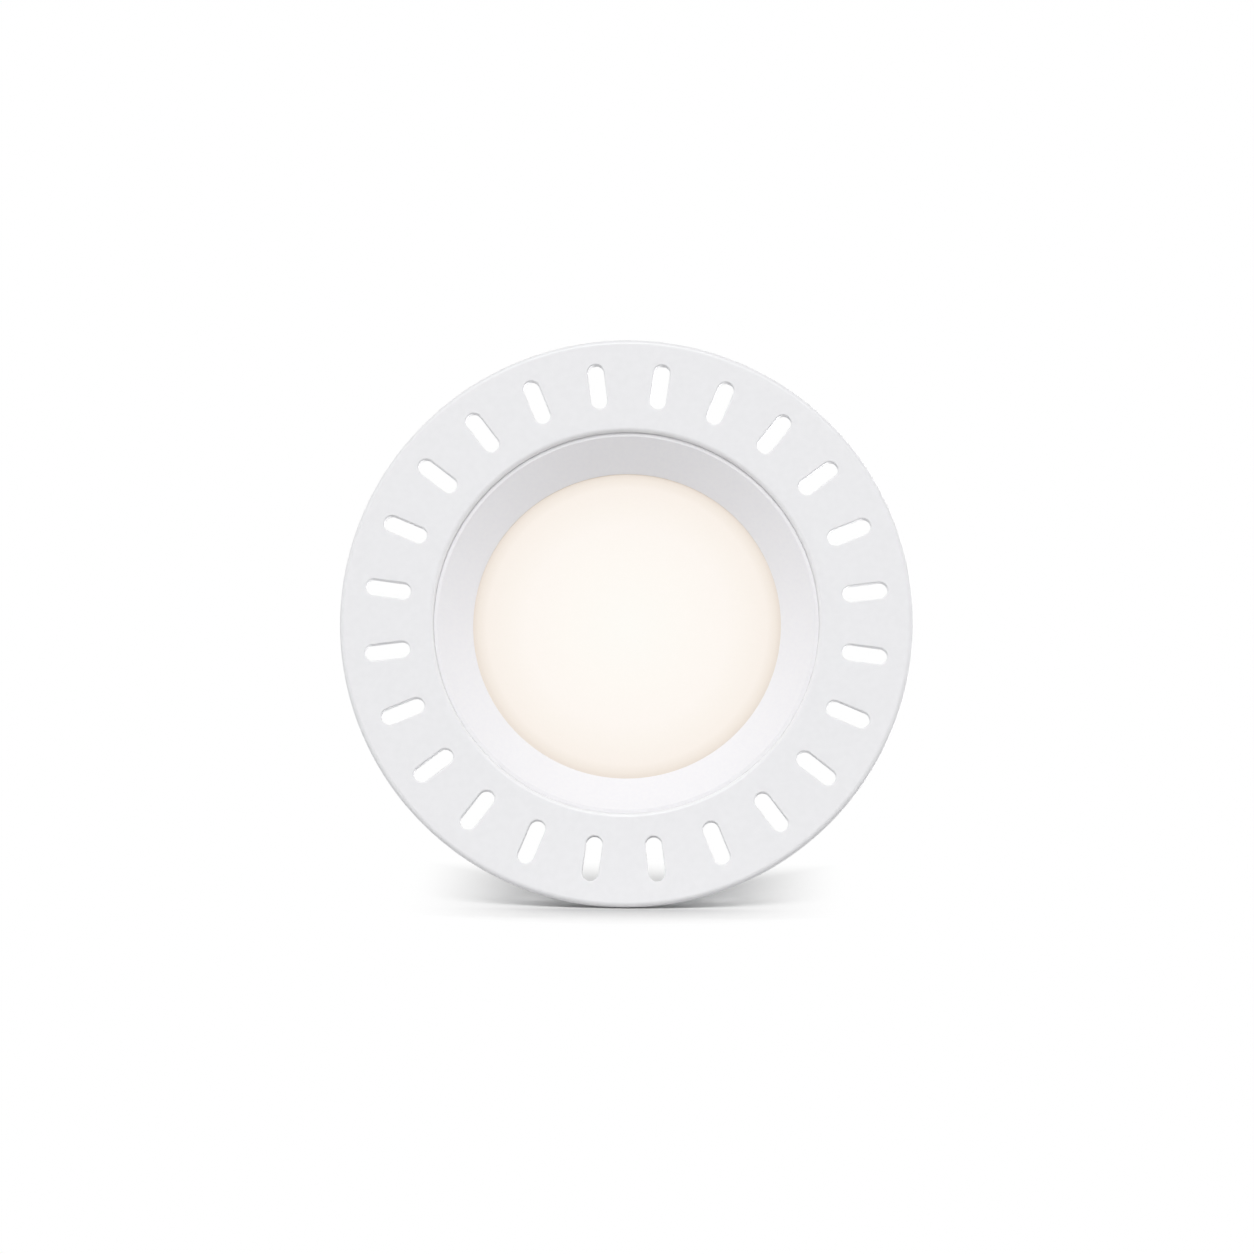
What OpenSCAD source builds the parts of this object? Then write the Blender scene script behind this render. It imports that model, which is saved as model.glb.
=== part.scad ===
// Recessed soffit downlight with a vented trim ring and three spring clips.
// Origin: centre of the plane where the gasket meets the soffit. +Z points up into the soffit,
// the light faces -Z. Clips and screws are placed by their angle about Z.

/* [Trim ring] */
// Outside diameter of the trim ring
trim_d = 190; // [188.5:0.5:204]
// Thickness of the flange
flange_t = 3.5; // [3:0.1:5]
// Radius of the rounded outer rim
rim_r = 1.6; // [0.8:0.1:2.4]
// Radius of the rounded mouth edge round the light
mouth_r = 1.5; // [0.6:0.1:1.5]
// Diameter of the opening for the light
opening_d = 127.8; // [124:0.1:129]
// Wall of the hub behind the opening
hub_wall = 2.6; // [2:0.1:3]

/* [Vent slots] */
// Number of vent slots
slot_count = 24; // [12:12:24]
// Length of a slot over its round ends
slot_l = 15; // [10:0.1:15.6]
// Width of a slot
slot_w = 5.4; // [3:0.1:6]
// Distance from the hub to the inner ends of the slots
slot_inset = 5.7; // [5:0.1:6.2]
// Radius of the rounded front edge of a slot
slot_lip = 0.45; // [0.2:0.05:0.7]

/* [Locating collar] */
// Distance from the slots' outer ends to the collar
collar_gap = 0.5; // [0.3:0.1:1]
// Wall of the collar that sits in the cut-out
collar_wall = 1.1; // [0.8:0.1:1.5]
// Height of the collar behind the flange
collar_h = 4; // [3:0.5:5]

/* [Gasket] */
// Thickness of the foam gasket when pressed
gasket_t = 1.5; // [1:0.1:2.5]
// Distance from the collar to the gasket
gasket_gap = 1.2; // [1:0.1:1.4]
// Distance from the gasket to the outer rim
gasket_inset = 1; // [0.5:0.1:1.4]

/* [Baffle and diffuser] */
// How far the baffle's lip lies behind the front of the ring
baffle_step = 1.8; // [1.6:0.1:2.5]
// Depth from the front of the ring to the diffuser
recess_depth = 10; // [8:0.5:14]
// Diameter of the diffuser that shows
light_d = 102.4; // [98:0.2:104]
// Wall of the baffle
baffle_wall = 1.4; // [1:0.1:1.8]
// Gap between the baffle and the ring's opening
baffle_fit = 0.3; // [0.15:0.05:0.5]
// Width of the baffle's seat under the diffuser
seat_w = 3; // [2.4:0.1:3.4]
// Play round the diffuser's edge
diffuser_fit = 0.25; // [0.1:0.05:0.4]
// Thickness of the diffuser
diffuser_t = 2; // [1.5:0.1:3]
// Thickness of the silicone seal when pressed
seal_t = 1; // [0.8:0.1:1.5]
// Width of the silicone seal
seal_w = 1.9; // [1.5:0.1:2.2]

/* [Heat sink] */
// Thickness of the heat sink's mounting flange
sink_flange_t = 3; // [2.5:0.1:4]
// Gap from the edge of the light to the cup's inside
cup_gap = 0.8; // [0.6:0.1:1]
// Wall of the cup
cup_wall = 2.5; // [2:0.1:2.8]
// Depth of the mixing space between seal and LED board
mix_depth = 14; // [12:0.5:20]
// Thickness of the heat sink's top plate
plate_t = 4.5; // [4:0.1:6]
// Radius to the tips of the fins
fin_tip_r = 61.5; // [60:0.1:62.5]
// Thickness of a fin
fin_t = 1.6; // [1.2:0.1:2]
// Height of the fins above the top plate
fin_rise = 6; // [4:0.5:7]
// Radius where the fins end on the top plate
fin_start_r = 56; // [55:0.1:57]
// Number of fin places round the heat sink
fin_count = 30; // [24:6:36]

/* [LED board] */
// Diameter of the LED board
board_d = 92; // [84:0.5:96]
// Thickness of the LED board
board_t = 1.6; // [1:0.1:2]
// Thickness of the thermal pad
pad_t = 0.5; // [0.3:0.1:0.8]
// Distance from the edge of the LED board to its screws
board_screw_inset = 5; // [4.6:0.1:6]
// Radius of the inner ring of LED packages
led_ring_in = 12; // [9:0.5:15]
// Radius of the outer ring of LED packages
led_ring_out = 25; // [20:0.5:30]
// Side of an LED package
led_side = 3; // [2:0.1:3.5]
// Height of an LED package
led_t = 0.7; // [0.5:0.1:1]
// Wall of the mixing reflector
reflector_t = 1; // [0.8:0.1:1.5]

/* [Spring clips] */
// Distance from the axis to the pads that carry the clips
pad_face = 61; // [59.5:0.1:61.4]
// Sheet thickness of the clip brackets
bracket_t = 1.2; // [1:0.1:1.4]
// Height of the clip pivot above the soffit plane
pivot_z = 20; // [19:0.5:22]
// Height of the bracket's screw over the clip pivot
bracket_screw_rise = 10; // [9.6:0.1:10.5]
// Radius of the clip pivot pin
clip_pin_r = 1.5; // [1.2:0.05:1.7]
// Running clearance of the arm on its pin
pin_play = 0.06; // [0.03:0.01:0.09]
// Width of a clip arm
arm_w = 8; // [7:0.1:8.4]
// Sheet thickness of a clip arm
arm_t = 1; // [0.8:0.1:1.2]
// Length of a clip arm from pivot to tip
arm_l = 30; // [28:0.5:31]
// Slope of the arm below level at rest
arm_rest = 26; // [20:1:28]
// Gap between the arm's side tabs and the bracket's ears
ear_gap = 0.4; // [0.3:0.05:0.6]
// Mean radius of the torsion spring
coil_r = 3; // [2.8:0.05:3.2]
// Diameter of the spring wire
wire_d = 0.9; // [0.7:0.05:0.95]
// Distance between the spring's curls
coil_pitch = 1.4; // [1.38:0.01:1.45]
// Length of the nylon tip sleeve
sleeve_l = 8; // [6:0.5:10]
// Wall of the nylon tip sleeve
sleeve_wall = 0.7; // [0.5:0.1:0.9]

/* [Driver case] */
// Length of the driver case
case_l = 92; // [90:0.5:96]
// Width of the driver case
case_w = 50; // [49:0.5:54]
// Height of the driver case without its cover
case_h = 26; // [24.5:0.5:30]
// Wall of the driver case
case_wall = 2; // [1.6:0.1:2.4]
// Outside corner radius of the driver case
case_corner = 4; // [3:0.1:6]
// Length of the terminal compartment
bay_l = 30; // [29:0.5:32]
// Thickness of the driver cover and the terminal lid
cover_t = 2; // [1.6:0.1:2.2]
// Distance from the case's inner side walls to the screws that hold it
post_inset = 6; // [5.5:0.1:7]
// Gap between the terminal lid and what is round it
lid_gap = 0.4; // [0.3:0.05:0.6]
// Radius of the lid's hinge knuckles
knuckle_r = 2.3; // [2:0.1:2.5]
// Radius of the lid's hinge pin
lid_pin_r = 1; // [0.8:0.05:1.1]

/* [Driver] */
// Thickness of the driver board
pcb_t = 1.6; // [1:0.1:2]
// Height of the driver board over the case floor
pcb_lift = 3; // [2.5:0.1:5]
// Radius of the bulk capacitor
bulk_r = 5; // [4:0.1:5.5]
// Height of the bulk capacitor
bulk_h = 15; // [12:0.5:16]
// Height of the transformer
transformer_h = 14; // [12:0.5:16]

/* [Terminals and cable entry] */
// Depth of the terminal block, along its wires
block_l = 11; // [10:0.1:12]
// Height of the terminal block
block_h = 13; // [12:0.1:14]
// Distance between the poles
pole_pitch = 8; // [7.5:0.1:8.5]
// Travel of a release button
button_travel = 1.2; // [0.8:0.1:1.5]
// Gap round a release button
button_gap = 0.3; // [0.2:0.05:0.4]
// Radius of the grommet's bore for the supply cord
cord_bore_r = 3.6; // [3:0.05:4]
// Outside radius of the grommet
grommet_r = 7; // [6.5:0.1:7.5]
// Height of the cable entry over the case floor
entry_h = 11; // [10:0.1:12]

/* [Hidden] */
$fn = 48;

// overlap used where two volumes of one piece are joined, and past the faces of a cut
join = 0.2;

// heights of the flat joints, from the front of the ring up into the soffit
z_rear = -gasket_t;
z_front = z_rear - flange_t;
z_lip = z_front + baffle_step;
z_light = z_front + recess_depth;
z_seal = z_light + diffuser_t;
z_joint = z_seal + seal_t;
z_flange_top = z_joint + sink_flange_t;
z_board = z_joint + mix_depth;
z_pad = z_board + board_t;
z_plate = z_pad + pad_t;
z_plate_top = z_plate + plate_t;
z_case = z_plate_top + fin_rise;
z_floor = z_case + case_wall;
z_case_top = z_case + case_h;
z_cover_top = z_case_top + cover_t;

// radii of the ring, from the opening outwards
opening_r = opening_d / 2;
hub_r = opening_r + hub_wall;
slot_in_r = hub_r + slot_inset;
slot_out_r = slot_in_r + slot_l;
collar_in_r = slot_out_r + collar_gap;
collar_r = collar_in_r + collar_wall;
trim_r = trim_d / 2;
gasket_in_r = collar_r + gasket_gap;
gasket_out_r = trim_r - gasket_inset;

// radii of the light, from its edge outwards
light_r = light_d / 2;
diffuser_r = light_r + seat_w;
baffle_r = opening_r - baffle_fit;
cup_in_r = light_r + cup_gap;
cup_out_r = cup_in_r + cup_wall;
board_r = board_d / 2;

// screws: radius of thread, head and clearance hole
m3_r = 1.5;
m3_head_r = 2.8;
m3_head_h = 2;
m3_hole_r = 1.7;
small_screw_r = 1.1;
small_head_r = 2;
small_head_h = 1.4;
small_hole_r = 1.3;
drive_r = 0.9;
drive_depth = 0.8;
tap_play = 0.05;

// screw bosses on the hub, between the slots
boss_angles = [30, 150, 270];
boss_r = 3.3;
boss_place = hub_r + 0.9;
boss_screw_l = 8;

clip_angles = [90, 210, 330];

// one clip, in its own frame: u outwards from the pivot, v along the pin, w upwards
coil_out_r = coil_r + wire_d / 2;
pivot_x = pad_face + bracket_t + coil_out_r + 0.35;
tab_t = arm_t;
tab_r = clip_pin_r + 1.5;
ear_in = arm_w / 2 + ear_gap;
ear_r = clip_pin_r + 2.5;
bracket_half_w = ear_in + bracket_t;
bracket_low = pivot_z - ear_r - 1;
bracket_screw_z = pivot_z + bracket_screw_rise;
bracket_high = bracket_screw_z + m3_head_r + 1.2;
coil_half_l = arm_w / 2 - tab_t - wire_d / 2 - 0.2;
strip_start = coil_out_r + 1.2;

module tube(ro, ri, z0, z1) {
    difference() {
        translate([0, 0, z0]) cylinder(r = ro, h = z1 - z0);
        translate([0, 0, z0 - join]) cylinder(r = ri, h = z1 - z0 + 2 * join);
    }
}

module around(angles) {
    for (a = angles) rotate([0, 0, a]) children();
}

// a rectangle with round corners
module rounded(l, w, r) {
    union() {
        square([l - 2 * r, w], center = true);
        square([l, w - 2 * r], center = true);
        for (x = [-1, 1], y = [-1, 1]) {
            translate([x * (l / 2 - r), y * (w / 2 - r)]) circle(r = r);
        }
    }
}

// a pan head screw that points down from z = 0, its head above
module screw(r, head_r, head_h, l) {
    difference() {
        union() {
            translate([0, 0, -l]) cylinder(r = r, h = l + join);
            cylinder(r = head_r, h = head_h);
        }
        translate([0, 0, head_h - drive_depth]) cylinder(r = drive_r, h = drive_depth + join, $fn = 6);
    }
}

/* ---- ring ---- */

module trim_section() {
    difference() {
        union() {
            translate([opening_r, z_front]) square([trim_r - opening_r, flange_t]);
            translate([collar_in_r, z_rear - join]) square([collar_wall, collar_h + join]);
        }
        difference() {
            translate([trim_r - rim_r, z_front - join]) square([rim_r + join, rim_r + join]);
            translate([trim_r - rim_r, z_front + rim_r]) circle(r = rim_r);
        }
        difference() {
            translate([opening_r - join, z_front - join]) square([mouth_r + join, mouth_r + join]);
            translate([opening_r + mouth_r, z_front + mouth_r]) circle(r = mouth_r);
        }
    }
}

// the rounded edge of a slot, as the section of the cutter that makes it
module lip_section() {
    difference() {
        translate([0, -join]) square([slot_w / 2 + slot_lip, slot_lip + join]);
        translate([slot_w / 2 + slot_lip, slot_lip]) circle(r = slot_lip);
    }
}

module slot_cut() {
    reach = slot_l - slot_w;
    translate([slot_in_r + slot_l / 2, 0, z_front]) {
        translate([0, 0, -join]) {
            linear_extrude(flange_t + 2 * join) {
                square([reach, slot_w], center = true);
                translate([-reach / 2, 0]) circle(r = slot_w / 2);
                translate([reach / 2, 0]) circle(r = slot_w / 2);
            }
        }
        for (side = [0, 1]) {
            mirror([side, 0, 0]) translate([reach / 2, 0, 0]) {
                rotate([0, 0, -90]) rotate_extrude(angle = 180) lip_section();
            }
            mirror([0, side, 0]) translate([-reach / 2, 0, 0]) {
                rotate([90, 0, 90]) linear_extrude(reach) lip_section();
            }
        }
    }
}

// the outline that the hub of the ring and the flange of the heat sink share
module hub_outline(bore_r) {
    difference() {
        union() {
            circle(r = hub_r);
            around(boss_angles) translate([boss_place, 0]) circle(r = boss_r);
        }
        circle(r = bore_r);
    }
}

module trim_ring() {
    color("#ebebed") difference() {
        union() {
            rotate_extrude() trim_section();
            translate([0, 0, z_rear - join]) linear_extrude(z_joint - z_rear + join) hub_outline(opening_r);
        }
        around([for (i = [0 : slot_count - 1]) (i + 0.5) * 360 / slot_count]) slot_cut();
        around(boss_angles) {
            translate([boss_place, 0, z_joint - boss_screw_l]) {
                cylinder(r = m3_r + tap_play, h = boss_screw_l + join);
            }
        }
    }
}

module soffit_gasket() {
    color("#3a3b3d") tube(gasket_out_r, gasket_in_r, z_rear, 0);
}

/* ---- light ---- */

module baffle_cone() {
    // the cone's wall is set back square to its slope
    run = baffle_r - light_r - 1;
    rise = z_light - z_lip - 0.6;
    back = baffle_wall * sqrt(run * run + rise * rise) / run;
    color("#e9e9e8") difference() {
        rotate_extrude() polygon([
            [baffle_r, z_lip],
            [baffle_r, z_joint],
            [baffle_r - baffle_wall, z_joint],
            [baffle_r - baffle_wall, z_lip + back + baffle_wall * rise / run],
            [diffuser_r + baffle_wall, z_light],
            [diffuser_r + baffle_wall, z_seal],
            [diffuser_r, z_seal],
            [diffuser_r, z_light],
            [light_r, z_light],
            [light_r, z_light - 0.6],
            [baffle_r - 1, z_lip]
        ]);
    }
}

module diffuser() {
    color("#fdf7ee") translate([0, 0, z_light]) cylinder(r = diffuser_r - diffuser_fit, h = diffuser_t);
}

module diffuser_seal() {
    color("#c9cbcc") {
        tube(diffuser_r - diffuser_fit, diffuser_r - diffuser_fit - seal_w, z_seal, z_joint);
    }
}

module mixing_reflector() {
    reach = mix_depth - led_t - 0.2;
    low_r = cup_in_r - 0.3;
    high_r = board_r - 1;
    color("#f6f6f4") rotate_extrude() polygon([
        [low_r, z_joint],
        [low_r, z_joint + 2],
        [high_r, z_joint + reach],
        [high_r - reflector_t, z_joint + reach],
        [low_r - reflector_t, z_joint + 2],
        [low_r - reflector_t, z_joint]
    ]);
}

// places of the board's screws and leads, shared by all that they pass through
board_screw_place = board_r - board_screw_inset;
board_screw_angles = [60, 180, 300];
lead_x = 33;
lead_y = 1.3;
lead_r = 0.7;
lead_hole_r = 2.6;

module led_board() {
    color("#dfe3e0") difference() {
        translate([0, 0, z_board]) cylinder(r = board_r, h = board_t);
        around(board_screw_angles) {
            translate([board_screw_place, 0, z_board - join]) cylinder(r = small_hole_r, h = board_t + 2 * join);
        }
        translate([lead_x, 0, z_board - join]) cylinder(r = lead_hole_r, h = board_t + 2 * join);
    }
}

// LED packages stand in two rings: radius and count of each
led_rings = [[led_ring_in, 6], [led_ring_out, 12]];

module led_packages() {
    color("#f2d45c") for (ring = led_rings) {
        around([for (i = [0 : ring[1] - 1]) (i + 0.5) * 360 / ring[1]]) {
            translate([ring[0] - led_side / 2, -led_side / 2, z_board - led_t]) cube([led_side, led_side, led_t]);
        }
    }
}

connector_h = 4;

module board_connector() {
    color("#f4f3ec") difference() {
        translate([lead_x - 4, -3.5, z_board - connector_h]) cube([8, 7, connector_h]);
        for (y = [-lead_y, lead_y]) {
            translate([lead_x, y, z_board - connector_h + 1]) cylinder(r = lead_r + tap_play, h = connector_h);
        }
    }
}

module thermal_pad() {
    color("#8d97a3") difference() {
        translate([0, 0, z_pad]) cylinder(r = board_r, h = pad_t);
        around(board_screw_angles) {
            translate([board_screw_place, 0, z_pad - join]) cylinder(r = small_hole_r, h = pad_t + 2 * join);
        }
        translate([lead_x, 0, z_pad - join]) cylinder(r = lead_hole_r, h = pad_t + 2 * join);
    }
}

module board_screws() {
    color("#b9bcc0") around(board_screw_angles) {
        translate([board_screw_place, 0, z_board]) rotate([180, 0, 0]) {
            screw(small_screw_r, small_head_r, small_head_h, board_t + pad_t + 3);
        }
    }
}

/* ---- heat sink ---- */

post_x = 30;
post_y = case_w / 2 - case_wall - post_inset;
post_r = 3.4;
earth_x = -18;
earth_y = 14;
pad_half_w = bracket_half_w + 1;

module fin() {
    tip_bevel = 3;
    translate([0, fin_t / 2, 0]) rotate([90, 0, 0]) linear_extrude(fin_t) polygon([
        [cup_out_r - join * 2, z_flange_top - join],
        [fin_tip_r, z_flange_top - join],
        [fin_tip_r, z_case - 1 - tip_bevel],
        [fin_tip_r - tip_bevel, z_case - 1],
        [fin_start_r - 4, z_case - 1],
        [fin_start_r - 4, z_plate_top - join],
        [cup_out_r - join * 2, z_plate_top - join]
    ]);
}

// fins keep clear of the clip pads
function near_clip(a) = min([for (c = clip_angles) abs(a - c)]) < 10;
fin_angles = [for (i = [0 : fin_count - 1]) let (a = (i + 0.5) * 360 / fin_count) if (!near_clip(a)) a];

module heat_sink() {
    color("#b4b6b9") difference() {
        union() {
            translate([0, 0, z_joint]) linear_extrude(sink_flange_t) hub_outline(cup_in_r);
            translate([0, 0, z_flange_top - join]) {
                cylinder(r = cup_out_r, h = z_plate_top - z_flange_top + join);
            }
            around(clip_angles) {
                translate([cup_in_r + 1, -pad_half_w, z_flange_top - join]) {
                    cube([pad_face - cup_in_r - 1, 2 * pad_half_w, bracket_high + 1 - z_flange_top + join]);
                }
            }
            around(fin_angles) fin();
            for (x = [-post_x, post_x], y = [-post_y, post_y]) {
                translate([x, y, z_plate_top - join]) cylinder(r = post_r, h = fin_rise + join);
            }
        }
        translate([0, 0, z_joint - join]) cylinder(r = cup_in_r, h = z_plate - z_joint + join);
        around(boss_angles) {
            translate([boss_place, 0, z_joint - join]) cylinder(r = m3_hole_r, h = sink_flange_t + 2 * join);
        }
        around(board_screw_angles) {
            translate([board_screw_place, 0, z_plate - join]) cylinder(r = small_screw_r + tap_play, h = 3.6);
        }
        around(clip_angles) {
            translate([pad_face - 6, 0, bracket_screw_z]) rotate([0, 90, 0]) {
                cylinder(r = m3_r + tap_play, h = 6 + join);
            }
        }
        for (x = [-post_x, post_x], y = [-post_y, post_y]) {
            translate([x, y, z_plate_top - 1]) cylinder(r = m3_r + tap_play, h = fin_rise + 1 + join);
        }
        translate([lead_x, 0, z_plate - join]) cylinder(r = lead_hole_r, h = plate_t + 2 * join);
        translate([earth_x, earth_y, z_plate_top - 3.8]) cylinder(r = m3_r + tap_play, h = 3.8 + join);
    }
}

module trim_screws() {
    color("#b9bcc0") around(boss_angles) {
        translate([boss_place, 0, z_flange_top]) {
            screw(m3_r, m3_head_r, m3_head_h, sink_flange_t + boss_screw_l - 1);
        }
    }
}

/* ---- spring clips ---- */

module at_pivot(angle) {
    rotate([0, 0, angle]) translate([pivot_x, 0, pivot_z]) children();
}

// an upright plate in the plane across the pin, from v0 over its thickness
module cheek(v0, t) {
    translate([0, v0 + t, 0]) rotate([90, 0, 0]) linear_extrude(t) children();
}

module clip_bracket(angle) {
    color("#c3c6ca") rotate([0, 0, angle]) difference() {
        union() {
            translate([pad_face, -bracket_half_w, bracket_low]) {
                cube([bracket_t, 2 * bracket_half_w, bracket_high - bracket_low]);
            }
            for (v = [-bracket_half_w, ear_in]) translate([pivot_x, 0, pivot_z]) cheek(v, bracket_t) {
                circle(r = ear_r);
                translate([pad_face - pivot_x + bracket_t / 2, -ear_r]) {
                    square([pivot_x - pad_face - bracket_t / 2, 2 * ear_r]);
                }
            }
        }
        translate([pivot_x, -bracket_half_w - join, pivot_z]) rotate([-90, 0, 0]) {
            cylinder(r = clip_pin_r + tap_play, h = 2 * (bracket_half_w + join));
        }
        translate([pad_face - join, 0, bracket_screw_z]) rotate([0, 90, 0]) {
            cylinder(r = m3_hole_r, h = bracket_t + 2 * join);
        }
    }
}

module clip_pin(angle) {
    head_t = 0.8;
    color("#d5d7da") at_pivot(angle) rotate([-90, 0, 0]) {
        translate([0, 0, -bracket_half_w]) cylinder(r = clip_pin_r, h = 2 * bracket_half_w + 0.6);
        translate([0, 0, -bracket_half_w - head_t]) cylinder(r = clip_pin_r + 0.6, h = head_t);
    }
}

module clip_arm(angle) {
    color("#c3c6ca") at_pivot(angle) rotate([0, arm_rest, 0]) difference() {
        union() {
            translate([strip_start, -arm_w / 2, -arm_t / 2]) cube([arm_l - strip_start, arm_w, arm_t]);
            for (v = [-arm_w / 2, arm_w / 2 - tab_t]) cheek(v, tab_t) {
                circle(r = tab_r);
                translate([0, -arm_t / 2]) square([strip_start + 5, tab_r]);
                translate([0, -tab_r]) square([strip_start - 1, 2 * tab_r]);
            }
        }
        translate([0, -arm_w / 2 - join, 0]) rotate([-90, 0, 0]) {
            cylinder(r = clip_pin_r + pin_play, h = arm_w + 2 * join);
        }
    }
}

module tip_sleeve(angle) {
    play = 0.05;
    color("#2b2d2f") at_pivot(angle) rotate([0, arm_rest, 0]) difference() {
        translate([arm_l - sleeve_l, 0, 0]) rotate([90, 0, 90]) {
            linear_extrude(sleeve_l + sleeve_wall) {
                rounded(arm_w + 2 * sleeve_wall, arm_t + 2 * sleeve_wall, sleeve_wall);
            }
        }
        translate([arm_l - sleeve_l - join, -arm_w / 2 - play, -arm_t / 2 - play]) {
            cube([sleeve_l + join + play, arm_w + 2 * play, arm_t + 2 * play]);
        }
    }
}

// Torsion spring. Its wire is one tube along the points of a curl path; the short tail that
// rests on the bracket has a curl of its own, so that the coil can turn with the arm beside it.
curl_rings = 8;
wire_sides = 6;
leg_slope = 8;
tail_turns = 1;
tail_start_v = -coil_half_l;
coil_start_v = tail_start_v + tail_turns * coil_pitch + wire_d + 0.3;
coil_turns = (coil_half_l - coil_start_v) / coil_pitch;
leg_end_w = arm_t / 2 + wire_d / 2 + 0.1;
leg_l = (coil_r - leg_end_w * cos(leg_slope)) / sin(leg_slope);
coil_steps = ceil(coil_turns * curl_rings);

// the tail runs up the bracket, once round the pin and ends beside the coil
tail_path = concat(
    [[-coil_r, tail_start_v, bracket_low + 0.6 - pivot_z], [-coil_r, tail_start_v, -wire_d]],
    [for (i = [0 : tail_turns * curl_rings])
        let (a = 180 - i * 360 / curl_rings)
        [coil_r * cos(a), tail_start_v + i * coil_pitch / curl_rings, coil_r * sin(a)]]
);
// the coil ends in a straight leg that lies on the arm
coil_path = concat(
    [for (i = [0 : coil_steps])
        let (a = 90 - leg_slope + (coil_steps - i) * coil_turns * 360 / coil_steps)
        [coil_r * cos(a), coil_start_v + i * (coil_half_l - coil_start_v) / coil_steps, coil_r * sin(a)]],
    [for (s = [wire_d, leg_l - wire_d, leg_l])
        [coil_r * sin(leg_slope) + s * cos(leg_slope), coil_half_l, coil_r * cos(leg_slope) - s * sin(leg_slope)]]
);

function unit(v) = v / norm(v);
function heading(p, i) = unit(p[min(i + 1, len(p) - 1)] - p[max(i - 1, 0)]);
// the wire lies across the pin's direction everywhere, so that direction frames its rings
function wire_ring(p, i) =
    let (t = heading(p, i), side = unit(cross(t, [0, 1, 0])), up = cross(side, t))
    [for (k = [0 : wire_sides - 1])
        p[i] + wire_d / 2 * (cos(k * 360 / wire_sides) * side + sin(k * 360 / wire_sides) * up)];

// all faces are triangles; ring i's corner k is point i * wire_sides + k
module wire(p) {
    n = len(p);
    m = wire_sides;
    points = [for (i = [0 : n - 1]) each wire_ring(p, i)];
    walls = [for (i = [0 : n - 2], k = [0 : m - 1])
        let (a = i * m + k, b = i * m + (k + 1) % m)
        each [[a, a + m, b], [b, a + m, b + m]]];
    ends = [for (k = [1 : m - 2]) each [[0, k, k + 1], [(n - 1) * m, (n - 1) * m + k + 1, (n - 1) * m + k]]];
    polyhedron(points = points, faces = concat(walls, ends));
}

// least gap between curls, on points at least half a curl apart along the wire
function least_gap(p) = min([for (i = [0 : len(p) - 1], j = [i + curl_rings / 2 : 1 : len(p) - 1])
    norm(p[i] - p[j]) - wire_d]);
echo(tail_gap = least_gap(tail_path), coil_gap = least_gap(coil_path));

module clip_spring(angle) {
    color("#9ea3a8") at_pivot(angle) rotate([0, arm_rest, 0]) wire(coil_path);
}

module spring_tail(angle) {
    color("#9ea3a8") at_pivot(angle) wire(tail_path);
}

module bracket_screws() {
    color("#b9bcc0") around(clip_angles) {
        translate([pad_face + bracket_t, 0, bracket_screw_z]) rotate([0, 90, 0]) {
            screw(m3_r, m3_head_r, m3_head_h, bracket_t + 5);
        }
    }
}

/* ---- driver case ---- */

bay_x = -case_l / 2 + bay_l;
bay_in_x = -case_l / 2 + case_wall;
partition_x = bay_x - case_wall;
cover_boss_r = 2.6;
cover_boss_x = [bay_x + cover_boss_r - 0.6, case_l / 2 - case_wall - cover_boss_r + 0.6];
cover_boss_y = case_w / 2 - case_wall - cover_boss_r + 0.6;
cover_boss_l = 8;
entry_z = z_floor + entry_h;
clamp_x = bay_in_x + 3;
clamp_l = 5;
clamp_half_w = 11;
clamp_screw_y = 8;
saddle_h = entry_h - cord_bore_r;
clamp_gap = 0.3;
grommet_seat_r = grommet_r - 1.4;
header_x = bay_x + 2.5;
lead_z = z_floor + 7.5;
lead_bore_r = lead_r + 0.4;
hinge_x = bay_x - case_wall / 2;
hinge_z = z_cover_top + 0.5;
block_x = partition_x - block_l - 0.1;
block_half_w = 1.5 * pole_pitch + 1;
pole_y = [-pole_pitch, 0, pole_pitch];
earth_pole_y = pole_pitch;

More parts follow.
